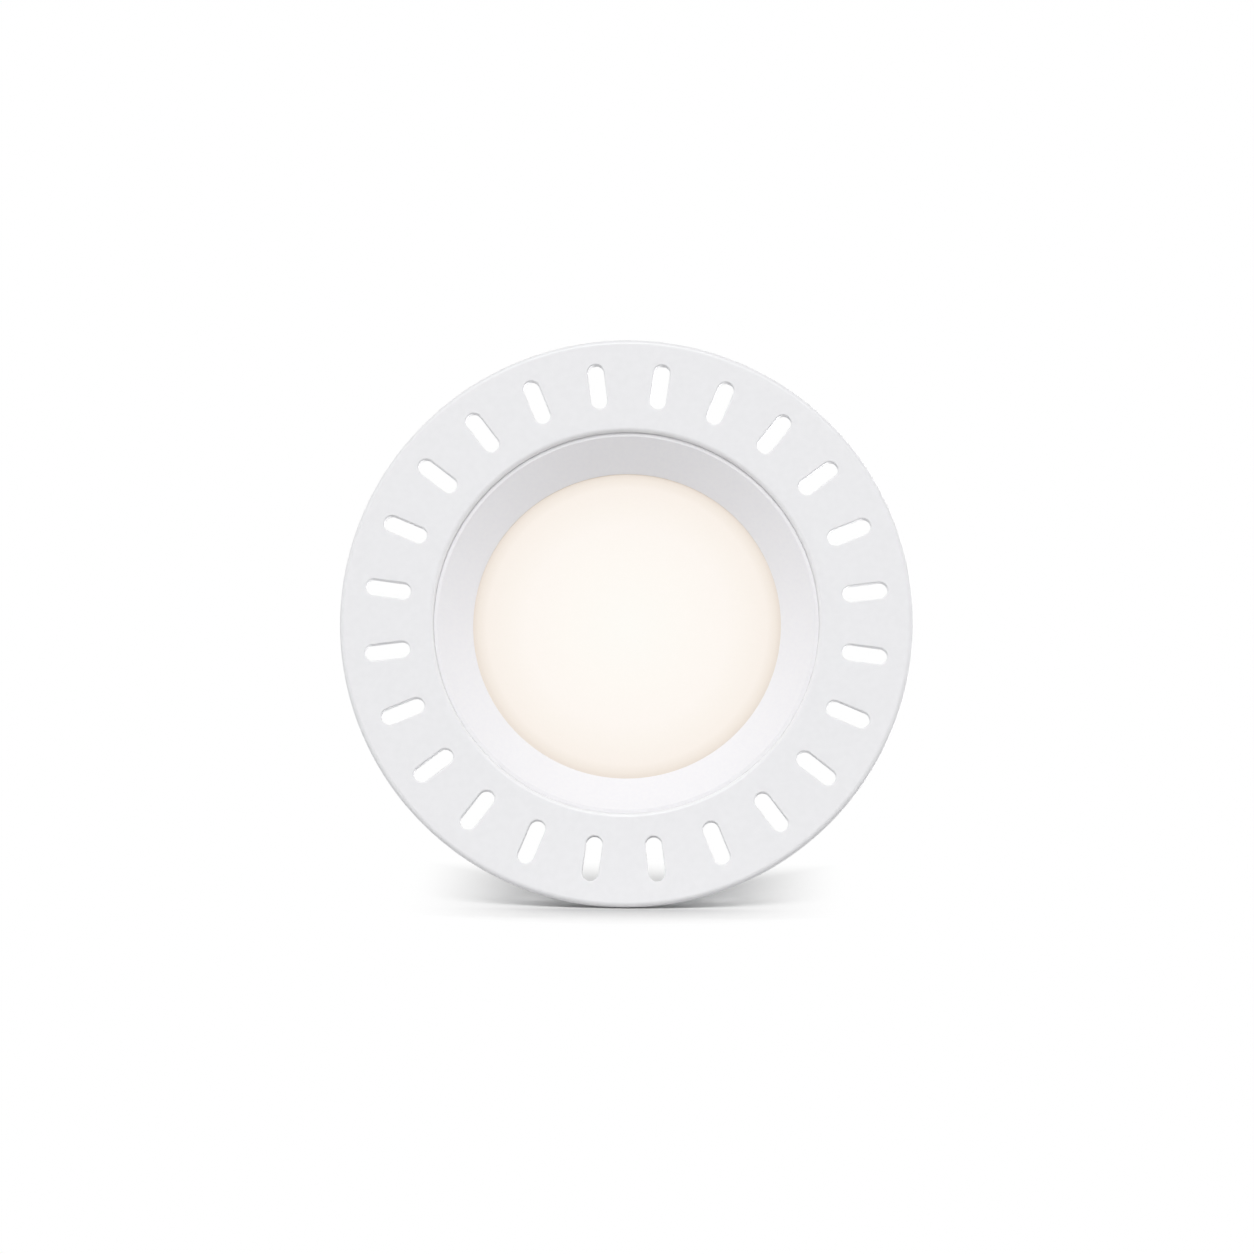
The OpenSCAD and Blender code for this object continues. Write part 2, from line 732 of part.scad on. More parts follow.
module driver_case() {
    color("#eceded") difference() {
        union() {
            difference() {
                translate([0, 0, z_case]) linear_extrude(case_h) rounded(case_l, case_w, case_corner);
                translate([0, 0, z_floor]) linear_extrude(case_h) {
                    rounded(case_l - 2 * case_wall, case_w - 2 * case_wall, case_corner - case_wall);
                }
            }
            translate([partition_x, -case_w / 2 + case_wall / 2, z_floor - join]) {
                cube([case_wall, case_w - case_wall, case_h - case_wall + join]);
            }
            for (x = cover_boss_x, y = [-cover_boss_y, cover_boss_y]) {
                translate([x, y, z_floor - join]) cylinder(r = cover_boss_r, h = case_h - case_wall + join);
            }
            // saddle under the cord, with a boss each side for the clamp's screws
            translate([clamp_x, -clamp_half_w, z_floor - join]) {
                cube([clamp_l, 2 * clamp_half_w, saddle_h + join]);
            }
            // posts under the driver board
            for (y = [-pcb_post_y, pcb_post_y], x = pcb_post_x) {
                translate([x, y, z_floor - join]) cylinder(r = 2.2, h = pcb_lift + join);
            }
        }
        for (x = cover_boss_x, y = [-cover_boss_y, cover_boss_y]) {
            translate([x, y, z_case_top - cover_boss_l]) {
                cylinder(r = small_screw_r + tap_play, h = cover_boss_l + join);
            }
        }
        for (y = [-clamp_screw_y, clamp_screw_y]) {
            translate([clamp_x + clamp_l / 2, y, z_floor + 1]) {
                cylinder(r = small_screw_r + tap_play, h = saddle_h);
            }
        }
        translate([-case_l / 2 - join, 0, entry_z]) rotate([0, 90, 0]) {
            cylinder(r = grommet_seat_r, h = case_wall + 2 * join);
        }
        for (x = [-post_x, post_x], y = [-post_y, post_y]) {
            translate([x, y, z_case - join]) cylinder(r = m3_hole_r, h = case_wall + 2 * join);
        }
        for (y = pole_y) if (y != earth_pole_y) {
            translate([partition_x - join, y, lead_z]) rotate([0, 90, 0]) {
                cylinder(r = lead_bore_r, h = case_wall + 2 * join);
            }
        }
        translate([lead_x, 0, z_case - join]) cylinder(r = lead_hole_r, h = case_wall + 2 * join);
        translate([earth_lead_x, earth_pole_y, z_case - join]) {
            cylinder(r = lead_bore_r, h = case_wall + 2 * join);
        }
    }
}

knuckle_l = 9;
knuckle_gap = 0.5;
knuckle_y = cover_boss_y - small_head_r - knuckle_gap - knuckle_l / 2;
lid_knuckle_l = 2 * (knuckle_y - knuckle_l / 2 - lid_gap);

// a hinge knuckle along Y on the lid's hinge line, with a web down to its plate
module knuckle(y, l, toward) {
    translate([hinge_x, y - l / 2, hinge_z]) {
        rotate([-90, 0, 0]) cylinder(r = knuckle_r, h = l);
        translate([toward > 0 ? 0 : -knuckle_r - 1, 0, z_case_top - hinge_z + 0.2]) {
            cube([knuckle_r + 1, l, cover_t - 0.2 + join]);
        }
    }
}

// the hinge pin's bore, through knuckles and plate
module hinge_bore(bore) {
    reach = knuckle_y + knuckle_l / 2 + 2;
    translate([hinge_x, -reach, hinge_z]) rotate([-90, 0, 0]) cylinder(r = bore, h = 2 * reach);
}

// room for the other plate's knuckle
module knuckle_room(y, l) {
    translate([hinge_x, y - l / 2 - lid_gap, hinge_z]) rotate([-90, 0, 0]) {
        cylinder(r = knuckle_r + lid_gap, h = l + 2 * lid_gap);
    }
}

module driver_cover() {
    cover_x = hinge_x + lid_gap / 2;
    color("#eceded") difference() {
        union() {
            intersection() {
                translate([0, 0, z_case_top]) linear_extrude(cover_t) rounded(case_l, case_w, case_corner);
                translate([cover_x, -case_w, z_case_top - join]) cube([case_l, 2 * case_w, cover_t + 2 * join]);
            }
            for (y = [-knuckle_y, knuckle_y]) knuckle(y, knuckle_l, 1);
        }
        knuckle_room(0, lid_knuckle_l);
        hinge_bore(lid_pin_r + tap_play);
        for (x = cover_boss_x, y = [-cover_boss_y, cover_boss_y]) {
            translate([x, y, z_case_top - join]) cylinder(r = small_hole_r, h = cover_t + 2 * join);
        }
    }
}

module cover_screws() {
    color("#b9bcc0") for (x = cover_boss_x, y = [-cover_boss_y, cover_boss_y]) {
        translate([x, y, z_cover_top]) {
            screw(small_screw_r, small_head_r, small_head_h, cover_t + cover_boss_l - 1);
        }
    }
}

module case_screws() {
    color("#b9bcc0") for (x = [-post_x, post_x], y = [-post_y, post_y]) {
        translate([x, y, z_floor]) screw(m3_r, m3_head_r, m3_head_h, case_wall + fin_rise);
    }
}

module terminal_lid() {
    tab_l = 6;
    tab_half_w = 7;
    lid_x = hinge_x - lid_gap / 2;
    outer_x = -case_l / 2 - lid_gap;
    color("#f3f4f4") difference() {
        union() {
            intersection() {
                translate([0, 0, z_case_top + 0.1]) {
                    linear_extrude(cover_t - 0.1) rounded(case_l, case_w, case_corner);
                }
                translate([lid_x - case_l, -case_w, z_case_top - join]) {
                    cube([case_l, 2 * case_w, cover_t + 2 * join]);
                }
            }
            knuckle(0, lid_knuckle_l, -1);
            // latch tab over the end wall
            translate([outer_x - cover_t, -tab_half_w, z_case_top + 0.1]) {
                cube([cover_t + lid_gap + case_corner, 2 * tab_half_w, cover_t - 0.1]);
            }
            translate([outer_x - cover_t, -tab_half_w, z_cover_top - tab_l]) {
                cube([cover_t, 2 * tab_half_w, tab_l]);
            }
        }
        for (y = [-knuckle_y, knuckle_y]) knuckle_room(y, knuckle_l);
        hinge_bore(lid_pin_r + pin_play);
    }
}

module lid_hinge_pin() {
    color("#d5d7da") translate([hinge_x, -knuckle_y - knuckle_l / 2, hinge_z]) rotate([-90, 0, 0]) {
        cylinder(r = lid_pin_r, h = 2 * knuckle_y + knuckle_l);
    }
}

/* ---- driver ---- */

pcb_x0 = bay_x + 0.6;
pcb_x1 = case_l / 2 - case_wall - 0.6;
pcb_half_w = case_w / 2 - case_wall - 0.6;
z_pcb = z_floor + pcb_lift;
z_pcb_top = z_pcb + pcb_t;
pcb_post_x = [pcb_x0 + 12, pcb_x1 - 3];
pcb_post_y = 8;
// the driver's parts keep their places from the board's end at the terminals
parts_x = pcb_x0 + 15.4;

module driver_board() {
    color("#2f7d4f") difference() {
        translate([pcb_x0, -pcb_half_w, z_pcb]) cube([pcb_x1 - pcb_x0, 2 * pcb_half_w, pcb_t]);
        for (x = cover_boss_x, y = [-1, 1]) {
            // corners are cut back round the case's bosses
            translate([x, y * cover_boss_y, z_pcb - join]) cylinder(r = cover_boss_r + 0.4, h = pcb_t + 2 * join);
            translate([x - case_wall - 4, y * cover_boss_y - (y < 0 ? 4 : 0), z_pcb - join]) {
                cube([cover_boss_r + 6.5, 4, pcb_t + 2 * join]);
            }
        }
        translate([lead_x, 0, z_pcb - join]) cylinder(r = lead_hole_r, h = pcb_t + 2 * join);
        for (y = [-post_y, post_y]) {
            translate([post_x, y, z_pcb - join]) cylinder(r = m3_head_r + 0.5, h = pcb_t + 2 * join);
        }
    }
}

transformer_x = parts_x + 14;
transformer_y = 5;
core_l = 20;
core_w = 7;
winding_r = 7;

module transformer_core() {
    limb = 4;
    color("#3b3a3c") translate([transformer_x, transformer_y, z_pcb_top]) difference() {
        translate([-core_l / 2, -core_w / 2, 0]) cube([core_l, core_w, transformer_h]);
        translate([-core_l / 2 + limb, -core_w / 2 - join, limb]) {
            cube([core_l - 2 * limb, core_w + 2 * join, transformer_h - 2 * limb]);
        }
    }
}

module transformer_winding() {
    play = 0.2;
    limb = 4;
    inside = core_l - 2 * limb - 2 * play;
    color("#e7c33f") translate([transformer_x, transformer_y, z_pcb_top + limb + play]) {
        intersection() {
            cylinder(r = winding_r, h = transformer_h - 2 * (limb + play));
            translate([-inside / 2, -winding_r, 0]) cube([inside, 2 * winding_r, transformer_h]);
        }
    }
}

module bulk_capacitor() {
    color("#27324a") translate([parts_x, 14.5, z_pcb_top]) {
        cylinder(r = bulk_r, h = bulk_h - 1);
        translate([0, 0, bulk_h - 1 - join]) cylinder(r = bulk_r - 0.6, h = 1 + join);
    }
}

module output_capacitor() {
    color("#31343a") translate([parts_x + 21, -15, z_pcb_top]) {
        cylinder(r = 4, h = 11);
        translate([0, 0, 11 - join]) cylinder(r = 3.5, h = 0.8 + join);
    }
}

module film_capacitor() {
    color("#d8b02e") translate([parts_x - 9.5, -19, z_pcb_top]) cube([13, 6, 11]);
}

module input_choke() {
    color("#8c5a2b") translate([parts_x + 12, -14.5, z_pcb_top]) {
        cylinder(r = 4.4, h = 1);
        translate([0, 0, 1 - join]) cylinder(r = 3.4, h = 7 + 2 * join);
        translate([0, 0, 8]) cylinder(r = 4.4, h = 1);
    }
}

module fuse() {
    color("#d9d2c0") translate([parts_x - 6, 5.5, z_pcb_top + 2.4]) rotate([0, 90, 0]) {
        cylinder(r = 1.8, h = 8);
        translate([0, 0, -1]) cylinder(r = 2.1, h = 2);
        translate([0, 0, 7]) cylinder(r = 2.1, h = 2);
    }
}

// flat packages on the board: place and size of each
chips = [
    [parts_x - 1, -8, 8.5, 6.5, 3.2],
    [parts_x + 9, -7, 5, 4, 1.5],
    [lead_x - 4, -7, 6.5, 6, 2.3],
    [lead_x - 4, 11, 4.5, 3, 2],
    [lead_x + 3, -14, 3, 1.6, 1]
];

module rectifier_and_chips() {
    color("#202124") for (c = chips) {
        translate([c[0] - c[2] / 2, c[1] - c[3] / 2, z_pcb_top]) cube([c[2], c[3], c[4]]);
    }
}

header_l = 6;
header_h = 8;

module board_headers() {
    color("#f4f3ec") {
        // supply side, open towards the terminal block's leads
        difference() {
            translate([header_x, -pole_pitch - 3, z_pcb_top]) cube([header_l, pole_pitch + 6, header_h]);
            for (y = pole_y) if (y != earth_pole_y) {
                translate([header_x - join, y, lead_z]) rotate([0, 90, 0]) {
                    cylinder(r = lead_r + tap_play, h = 4 + join);
                }
            }
        }
        // LED side, over the hole that its leads go down through
        difference() {
            translate([lead_x - 4, -3.5, z_pcb_top]) cube([8, 7, header_h]);
            for (y = [-lead_y, lead_y]) {
                translate([lead_x, y, z_pcb_top - join]) cylinder(r = lead_r + tap_play, h = 4 + join);
            }
        }
    }
}

module led_leads() {
    color("#b3262a") for (y = [-lead_y, lead_y]) {
        translate([lead_x, y, z_board - connector_h + 1.1]) {
            cylinder(r = lead_r, h = z_pcb_top + 3.8 - z_board + connector_h - 1.1);
        }
    }
}

/* ---- terminals ---- */

button_l = 5;
button_w = 5.4;
button_x = block_x + 3.5;
button_stand = 1.6;
z_block_top = z_floor + block_h;
contact_z = z_floor + 5;
wire_hole_r = 1.6;
earth_lead_x = block_x + 8.6;

module terminal_block() {
    color("#f7f6f0") difference() {
        translate([block_x, -block_half_w, z_floor]) cube([block_l, 2 * block_half_w, block_h]);
        for (y = pole_y) {
            // funnel and hole for the wire, pocket for the button, slot for the contact
            translate([block_x - join, y, contact_z]) rotate([0, 90, 0]) cylinder(r = wire_hole_r, h = 5);
            translate([button_x - button_gap, y - button_w / 2 - button_gap, z_block_top - 4]) {
                cube([button_l + 2 * button_gap, button_w + 2 * button_gap, 4 + join]);
            }
            translate([block_x + 4.5, y - 2, contact_z - 2]) cube([2.4, 4, 5]);
            if (y != earth_pole_y) {
                translate([partition_x - 3.6, y, lead_z]) rotate([0, 90, 0]) {
                    cylinder(r = lead_r + tap_play, h = 4);
                }
            }
        }
        translate([earth_lead_x, earth_pole_y, z_floor - join]) cylinder(r = lead_r + tap_play, h = 4 + join);
    }
}

module terminal_contacts() {
    color("#c9a24a") for (y = pole_y) {
        translate([block_x + 5, y - 1.8, contact_z - 1.8]) cube([0.8, 3.6, 4.4]);
        translate([block_x + 5.4, y - 1.8, contact_z - 1.8]) cube([1.2, 3.6, 0.8]);
    }
}

module release_button(y) {
    color("#f08a24") difference() {
        translate([button_x, y - button_w / 2, z_block_top - 4 + button_travel + 0.3]) {
            cube([button_l, button_w, 4 - button_travel - 0.3 + button_stand]);
        }
        // groove for a screwdriver's tip
        translate([button_x + button_l / 2 - 0.5, y - button_w / 2 - join, z_block_top + button_stand - 0.6]) {
            cube([1, button_w + 2 * join, 0.6 + join]);
        }
    }
}

module driver_leads() {
    color("#8a5a3c") for (y = pole_y) if (y != earth_pole_y) {
        translate([partition_x - 3.5, y, lead_z]) rotate([0, 90, 0]) {
            cylinder(r = lead_r, h = header_x + 3.8 - partition_x + 3.5);
        }
    }
}

lug_t = 0.8;

module earth_lead() {
    color("#7fb34a") {
        translate([earth_lead_x, earth_pole_y, z_plate_top + 0.1]) {
            cylinder(r = lead_r, h = z_floor + 3.6 - z_plate_top - 0.1);
        }
        // ring lug flat on the heat sink, from the lead to its screw
        difference() {
            union() {
                translate([earth_x, earth_y, z_plate_top]) cylinder(r = 3, h = lug_t);
                translate([earth_x, earth_y, z_plate_top]) {
                    rotate([0, 0, atan2(earth_pole_y - earth_y, earth_lead_x - earth_x)]) {
                        translate([0, -1.2, 0]) {
                            cube([norm([earth_pole_y - earth_y, earth_lead_x - earth_x]), 2.4, lug_t]);
                        }
                    }
                }
            }
            translate([earth_x, earth_y, z_plate_top - join]) cylinder(r = m3_hole_r, h = lug_t + 2 * join);
        }
    }
}

module earth_screw() {
    color("#c9a24a") translate([earth_x, earth_y, z_plate_top + lug_t]) screw(m3_r, m3_head_r, m3_head_h, lug_t + 3);
}

/* ---- cable entry ---- */

module cord_grommet() {
    lip = 1.2;
    color("#242527") translate([-case_l / 2, 0, entry_z]) rotate([0, 90, 0]) difference() {
        union() {
            translate([0, 0, -lip]) cylinder(r = grommet_r, h = lip);
            translate([0, 0, -join]) cylinder(r = grommet_seat_r, h = case_wall + 2 * join);
            translate([0, 0, case_wall]) cylinder(r = grommet_r, h = lip);
        }
        translate([0, 0, -lip - join]) cylinder(r = cord_bore_r, h = case_wall + 2 * (lip + join));
    }
}

module cord_clamp() {
    bar_t = 3;
    color("#3a3b3d") difference() {
        translate([clamp_x, -clamp_half_w, entry_z + cord_bore_r]) cube([clamp_l, 2 * clamp_half_w, bar_t]);
        for (y = [-clamp_screw_y, clamp_screw_y]) {
            translate([clamp_x + clamp_l / 2, y, entry_z + cord_bore_r - join]) {
                cylinder(r = small_hole_r, h = bar_t + 2 * join);
            }
        }
    }
}

module clamp_screws() {
    bar_t = 3;
    color("#b9bcc0") for (y = [-clamp_screw_y, clamp_screw_y]) {
        translate([clamp_x + clamp_l / 2, y, entry_z + cord_bore_r + bar_t]) {
            screw(small_screw_r, small_head_r, small_head_h, bar_t + 2 * cord_bore_r + saddle_h - 2);
        }
    }
}

trim_ring();
soffit_gasket();
baffle_cone();
diffuser();
diffuser_seal();
mixing_reflector();
led_board();
led_packages();
board_connector();
thermal_pad();
heat_sink();
board_screws();
trim_screws();
clip_bracket(clip_angles[0]);  // clip_bracket_a
clip_bracket(clip_angles[1]);  // clip_bracket_b
clip_bracket(clip_angles[2]);  // clip_bracket_c
clip_pin(clip_angles[0]);  // clip_pin_a
clip_pin(clip_angles[1]);  // clip_pin_b
clip_pin(clip_angles[2]);  // clip_pin_c
clip_arm(clip_angles[0]);  // clip_arm_a
clip_arm(clip_angles[1]);  // clip_arm_b
clip_arm(clip_angles[2]);  // clip_arm_c
tip_sleeve(clip_angles[0]);  // tip_sleeve_a
tip_sleeve(clip_angles[1]);  // tip_sleeve_b
tip_sleeve(clip_angles[2]);  // tip_sleeve_c
clip_spring(clip_angles[0]);  // clip_spring_a
clip_spring(clip_angles[1]);  // clip_spring_b
clip_spring(clip_angles[2]);  // clip_spring_c
spring_tail(clip_angles[0]);  // spring_tail_a
spring_tail(clip_angles[1]);  // spring_tail_b
spring_tail(clip_angles[2]);  // spring_tail_c
bracket_screws();
driver_case();
driver_cover();
cover_screws();
case_screws();
driver_board();
transformer_core();
transformer_winding();
bulk_capacitor();
output_capacitor();
film_capacitor();
input_choke();
fuse();
rectifier_and_chips();
board_headers();
terminal_block();
terminal_contacts();
release_button(pole_y[0]);  // release_button_live
release_button(pole_y[1]);  // release_button_neutral
release_button(pole_y[2]);  // release_button_earth
driver_leads();
led_leads();
earth_lead();
earth_screw();
cord_grommet();
cord_clamp();
clamp_screws();
terminal_lid();
lid_hinge_pin();
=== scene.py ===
import math
import bmesh
import bpy
from mathutils import Matrix, Vector


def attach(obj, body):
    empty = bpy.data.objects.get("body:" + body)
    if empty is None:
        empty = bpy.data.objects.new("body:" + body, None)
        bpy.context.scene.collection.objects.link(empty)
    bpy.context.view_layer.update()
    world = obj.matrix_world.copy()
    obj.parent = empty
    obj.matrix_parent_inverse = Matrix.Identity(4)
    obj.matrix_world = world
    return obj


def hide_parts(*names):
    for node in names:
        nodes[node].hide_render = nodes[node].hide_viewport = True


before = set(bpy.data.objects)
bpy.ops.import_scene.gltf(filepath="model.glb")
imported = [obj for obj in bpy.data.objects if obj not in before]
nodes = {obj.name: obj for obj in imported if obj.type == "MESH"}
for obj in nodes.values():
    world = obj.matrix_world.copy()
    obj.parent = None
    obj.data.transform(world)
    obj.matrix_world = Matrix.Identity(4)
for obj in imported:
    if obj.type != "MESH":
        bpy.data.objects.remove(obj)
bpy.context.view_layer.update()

# A vented soffit downlight. Sizes are in millimetres, the same as in the part's source, and MM turns
# them to metres. Origin: centre of the plane where the gasket meets the soffit; the light faces -Z.
MM = 0.001

# heights, from the front of the ring up into the soffit
Z_FRONT, Z_LIP, Z_REAR, Z_SOFFIT, Z_COLLAR = -5, -3.2, -1.5, 0, 2.5
Z_LIGHT, Z_SEAL, Z_JOINT, Z_PAD, Z_PLATE = 5, 7, 8, 23.6, 24.1
# radii of the ring, from the opening outwards
OPENING_R, HUB_R, COLLAR_IN_R, COLLAR_R, TRIM_R = 63.9, 66.5, 87.7, 88.8, 95
RIM_FILLET, MOUTH_FILLET = 1.6, 1.5
GASKET_IN_R, GASKET_OUT_R = 90, 94
# vent slots
SLOT_COUNT, SLOT_L, SLOT_W, SLOT_MIDDLE_R, SLOT_LIP = 24, 15, 5.4, 79.7, 0.45
# screw bosses on the hub
BOSS_ANGLES, BOSS_PLACE, BOSS_R, BOSS_BORE_R, BOSS_BORE_L = (30, 150, 270), 67.4, 3.3, 1.55, 8
# radii of the light, from its edge outwards
LIGHT_R, DIFFUSER_R, DIFFUSER_FIT, SEAL_W, BAFFLE_R = 51.2, 54.2, 0.25, 1.9, 63.6
BAFFLE_WALL = 1.4
# spring clips
CLIP_ANGLES = {"a": 90, "b": 210, "c": 330}
PIVOT_R, PIVOT_Z, ARM_REST, ARM_L, ARM_W, ARM_T = 66, 20, 26, 30, 8, 1
COIL_R, WIRE_R, COIL_PITCH, COIL_HALF_L, LEG_SLOPE = 3, 0.45, 1.4, 2.35, 8
SLEEVE_L, SLEEVE_WALL = 8, 0.7

FULL_TURN = 360
# how far a drill or a cutter runs past what it cuts
PAST = 1


# ---------------------------------------------------------------- small tools

def linear(code):
    """an sRGB hex colour as the linear one that the shader takes"""
    parts = [int(code[i:i + 2], 16) / 255 for i in (1, 3, 5)]
    return [c / 12.92 if c <= 0.04045 else ((c + 0.055) / 1.055) ** 2.4 for c in parts] + [1]


def add(tree, kind, inputs=None, **settings):
    """adds a node, sets its own settings, and fills its inputs with values or with other nodes' outputs"""
    made = tree.nodes.new(kind)
    for name, value in settings.items():
        setattr(made, name, value)
    for name, value in (inputs or {}).items():
        socket = made.inputs[name]
        if isinstance(value, bpy.types.NodeSocket):
            tree.links.new(value, socket)
        else:
            socket.default_value = value
    return made


def polar(r, degrees):
    """the point at a radius and an angle, as x and y"""
    return r * math.cos(math.radians(degrees)), r * math.sin(math.radians(degrees))


def arc(middle_r, middle_z, radius, start, end, steps):
    """points of a fillet in a turned profile"""
    spokes = [polar(radius, start + (end - start) * i / steps) for i in range(steps + 1)]
    return [(middle_r + r, middle_z + z) for r, z in spokes]


def new_piece(name, bm):
    """makes the object from a mesh in millimetres"""
    bmesh.ops.recalc_face_normals(bm, faces=bm.faces)
    data = bpy.data.meshes.new(name)
    bm.to_mesh(data)
    bm.free()
    data.transform(Matrix.Scale(MM, 4))
    piece = bpy.data.objects.new(name, data)
    bpy.context.scene.collection.objects.link(piece)
    return piece


def turn_into(bm, profile, steps, place=Matrix.Identity(4)):
    """a closed profile of (r, z) points turned about Z; points at r = 0 close on the axis"""
    rings = []
    for r, z in profile:
        if r == 0:
            rings.append([bm.verts.new(place @ Vector((0, 0, z)))] * steps)
        else:
            spokes = [polar(r, FULL_TURN * i / steps) for i in range(steps)]
            rings.append([bm.verts.new(place @ Vector((x, y, z))) for x, y in spokes])
    for low, high in zip(rings, rings[1:] + rings[:1]):
        for i in range(steps):
            j = (i + 1) % steps
            # a face next to the axis has three corners, and there is none along it
            corners = list(dict.fromkeys([low[i], low[j], high[j], high[i]]))
            if len(corners) > 2:
                bm.faces.new(corners)


def turned(name, profile, steps=192, place=Matrix.Identity(4)):
    """a piece turned from its profile; steps are the sides of its circles"""
    bm = bmesh.new()
    turn_into(bm, profile, steps, place)
    return new_piece(name, bm)


def stadium(length, width, steps):
    """outline of a slot along X, centred"""
    right_end = [polar(width / 2, -90 + 180 * i / steps) for i in range(steps + 1)]
    right = [((length - width) / 2 + x, y) for x, y in right_end]
    return right + [(-x, -y) for x, y in right]


def loft_into(bm, sections, place=Matrix.Identity(4)):
    """a closed solid with flat ends, through sections that each have the same number of points"""
    loops = [[bm.verts.new(place @ Vector(p)) for p in section] for section in sections]
    for low, high in zip(loops, loops[1:]):
        for i in range(len(low)):
            j = (i + 1) % len(low)
            bm.faces.new([low[i], low[j], high[j], high[i]])
    bm.faces.new(loops[0][::-1])
    bm.faces.new(loops[-1])


def combine(piece, tool, operation):
    """cuts the tool out of the piece, or joins it on, and throws the tool away"""
    step = piece.modifiers.new("step", "BOOLEAN")
    step.operation, step.solver, step.object = operation, "EXACT", tool
    apply_modifiers(piece)
    bpy.data.objects.remove(tool)


def apply_modifiers(piece):
    """turns the modified shape into the piece's own mesh"""
    shape = bpy.data.meshes.new_from_object(piece.evaluated_get(bpy.context.evaluated_depsgraph_get()))
    piece.modifiers.clear()
    piece.data = shape


def smooth_shading(tree_name, sharp_angle):
    """modifier nodes that shade a mesh smooth but keep edges over an angle sharp"""
    tree = bpy.data.node_groups.new(tree_name, "GeometryNodeTree")
    tree.interface.new_socket("Mesh", in_out="INPUT", socket_type="NodeSocketGeometry")
    tree.interface.new_socket("Mesh", in_out="OUTPUT", socket_type="NodeSocketGeometry")
    given = add(tree, "NodeGroupInput")
    angle = add(tree, "GeometryNodeInputMeshEdgeAngle")
    soft = add(tree, "FunctionNodeCompare",
               {"A": angle.outputs["Unsigned Angle"], "B": math.radians(sharp_angle)},
               data_type="FLOAT", operation="LESS_EQUAL")
    faces = add(tree, "GeometryNodeSetShadeSmooth", {"Geometry": given.outputs[0], "Shade Smooth": True},
                domain="FACE")
    edges = add(tree, "GeometryNodeSetShadeSmooth",
                {"Geometry": faces.outputs[0], "Shade Smooth": soft.outputs["Result"]}, domain="EDGE")
    add(tree, "NodeGroupOutput", {0: edges.outputs[0]})
    return tree


# an edge over this angle is sharp, and faces within the smaller one are a single flat
SHARP_ANGLE, FLAT_ANGLE = 35, 0.3
# corners this near to each other are one, and a broken edge has so many faces across it
WELD_GAP, EDGE_STEPS = 0.002, 2
# how strongly a large face keeps the shading at its corners flat, from 1 to 100
FACE_PULL = 60
shading = smooth_shading("shade_smooth_to_sharp_edges", SHARP_ANGLE)


def soften(piece, radius=0):
    """breaks the piece's edges with a small radius, and shades flats flat and rounds round"""
    if radius:
        weld = piece.modifiers.new("weld", "WELD")
        weld.merge_threshold = WELD_GAP * MM
        flats = piece.modifiers.new("flats", "DECIMATE")
        flats.decimate_type, flats.angle_limit = "DISSOLVE", math.radians(FLAT_ANGLE)
        edge = piece.modifiers.new("edges", "BEVEL")
        edge.width, edge.segments, edge.limit_method = radius * MM, EDGE_STEPS, "ANGLE"
        edge.angle_limit, edge.use_clamp_overlap = math.radians(SHARP_ANGLE), True
    piece.modifiers.new("shading", "NODES").node_group = shading
    normals = piece.modifiers.new("normals", "WEIGHTED_NORMAL")
    normals.keep_sharp, normals.weight = True, FACE_PULL


def dress(piece, material):
    """gives the piece one material, in place of what it had"""
    piece.data.materials.clear()
    piece.data.materials.append(material)


def stands_for(piece, material, slot, body, *replaced):
    """finishes a piece: its material, the body it rides on and the solids it is shown for; slot is not used
    """
    dress(piece, material)
    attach(piece, body)
    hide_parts(*replaced)
    return piece


# ---------------------------------------------------------------- materials

def new_material(name):
    """a material with an empty node tree"""
    made = bpy.data.materials.new(name)
    made.use_nodes = True
    made.node_tree.nodes.clear()
    return made


# the shares of a pattern's height at which it has its first tone and its second
FIRST_TONE_AT, SECOND_TONE_AT = 0.3, 0.7


def base_material(name, inputs, grain_mm, low, high, pattern="ShaderNodeTexNoise", stretch=(1, 1, 1),
                  pattern_inputs=None, relief_mm=0, roughness=None):
    """A material whose colour runs between two near tones in a pattern of real size.
    The same pattern gives the relief, and the roughness where a range is given."""
    made = new_material(name)
    tree = made.node_tree
    place = add(tree, "ShaderNodeTexCoord")
    stretched = add(tree, "ShaderNodeMapping", {"Vector": place.outputs["Object"], "Scale": stretch})
    grain = add(tree, pattern,
                {"Vector": stretched.outputs[0], "Scale": 1 / (grain_mm * MM), **(pattern_inputs or {})})
    height = grain.outputs["Distance"] if "Distance" in grain.outputs else grain.outputs[0]
    tone = add(tree, "ShaderNodeValToRGB", {"Fac": height})
    first, second = tone.color_ramp.elements
    first.color, second.color = linear(low), linear(high)
    first.position, second.position = FIRST_TONE_AT, SECOND_TONE_AT
    shader = add(tree, "ShaderNodeBsdfPrincipled", {"Base Color": tone.outputs[0], **inputs})
    if relief_mm:
        bump = add(tree, "ShaderNodeBump", {"Height": height, "Distance": relief_mm * MM, "Strength": 1})
        tree.links.new(bump.outputs[0], shader.inputs["Normal"])
    if roughness:
        rough = add(tree, "ShaderNodeMapRange",
                    {"Value": height, "To Min": roughness[0], "To Max": roughness[1]})
        tree.links.new(rough.outputs[0], shader.inputs["Roughness"])
    add(tree, "ShaderNodeOutputMaterial", {"Surface": shader.outputs[0]})
    return made


# Satin polyester powder coat on die-cast aluminium: the film flows into a faint orange peel of about
# 2 mm, which barely breaks up the soft highlight on the rim.
powder_coat = base_material("powder_coat_white_satin", {"Roughness": 0.42, "IOR": 1.5}, grain_mm=2.2,
                            low="#ebebed", high="#ededef", relief_mm=0.004, pattern_inputs={"Detail": 1})
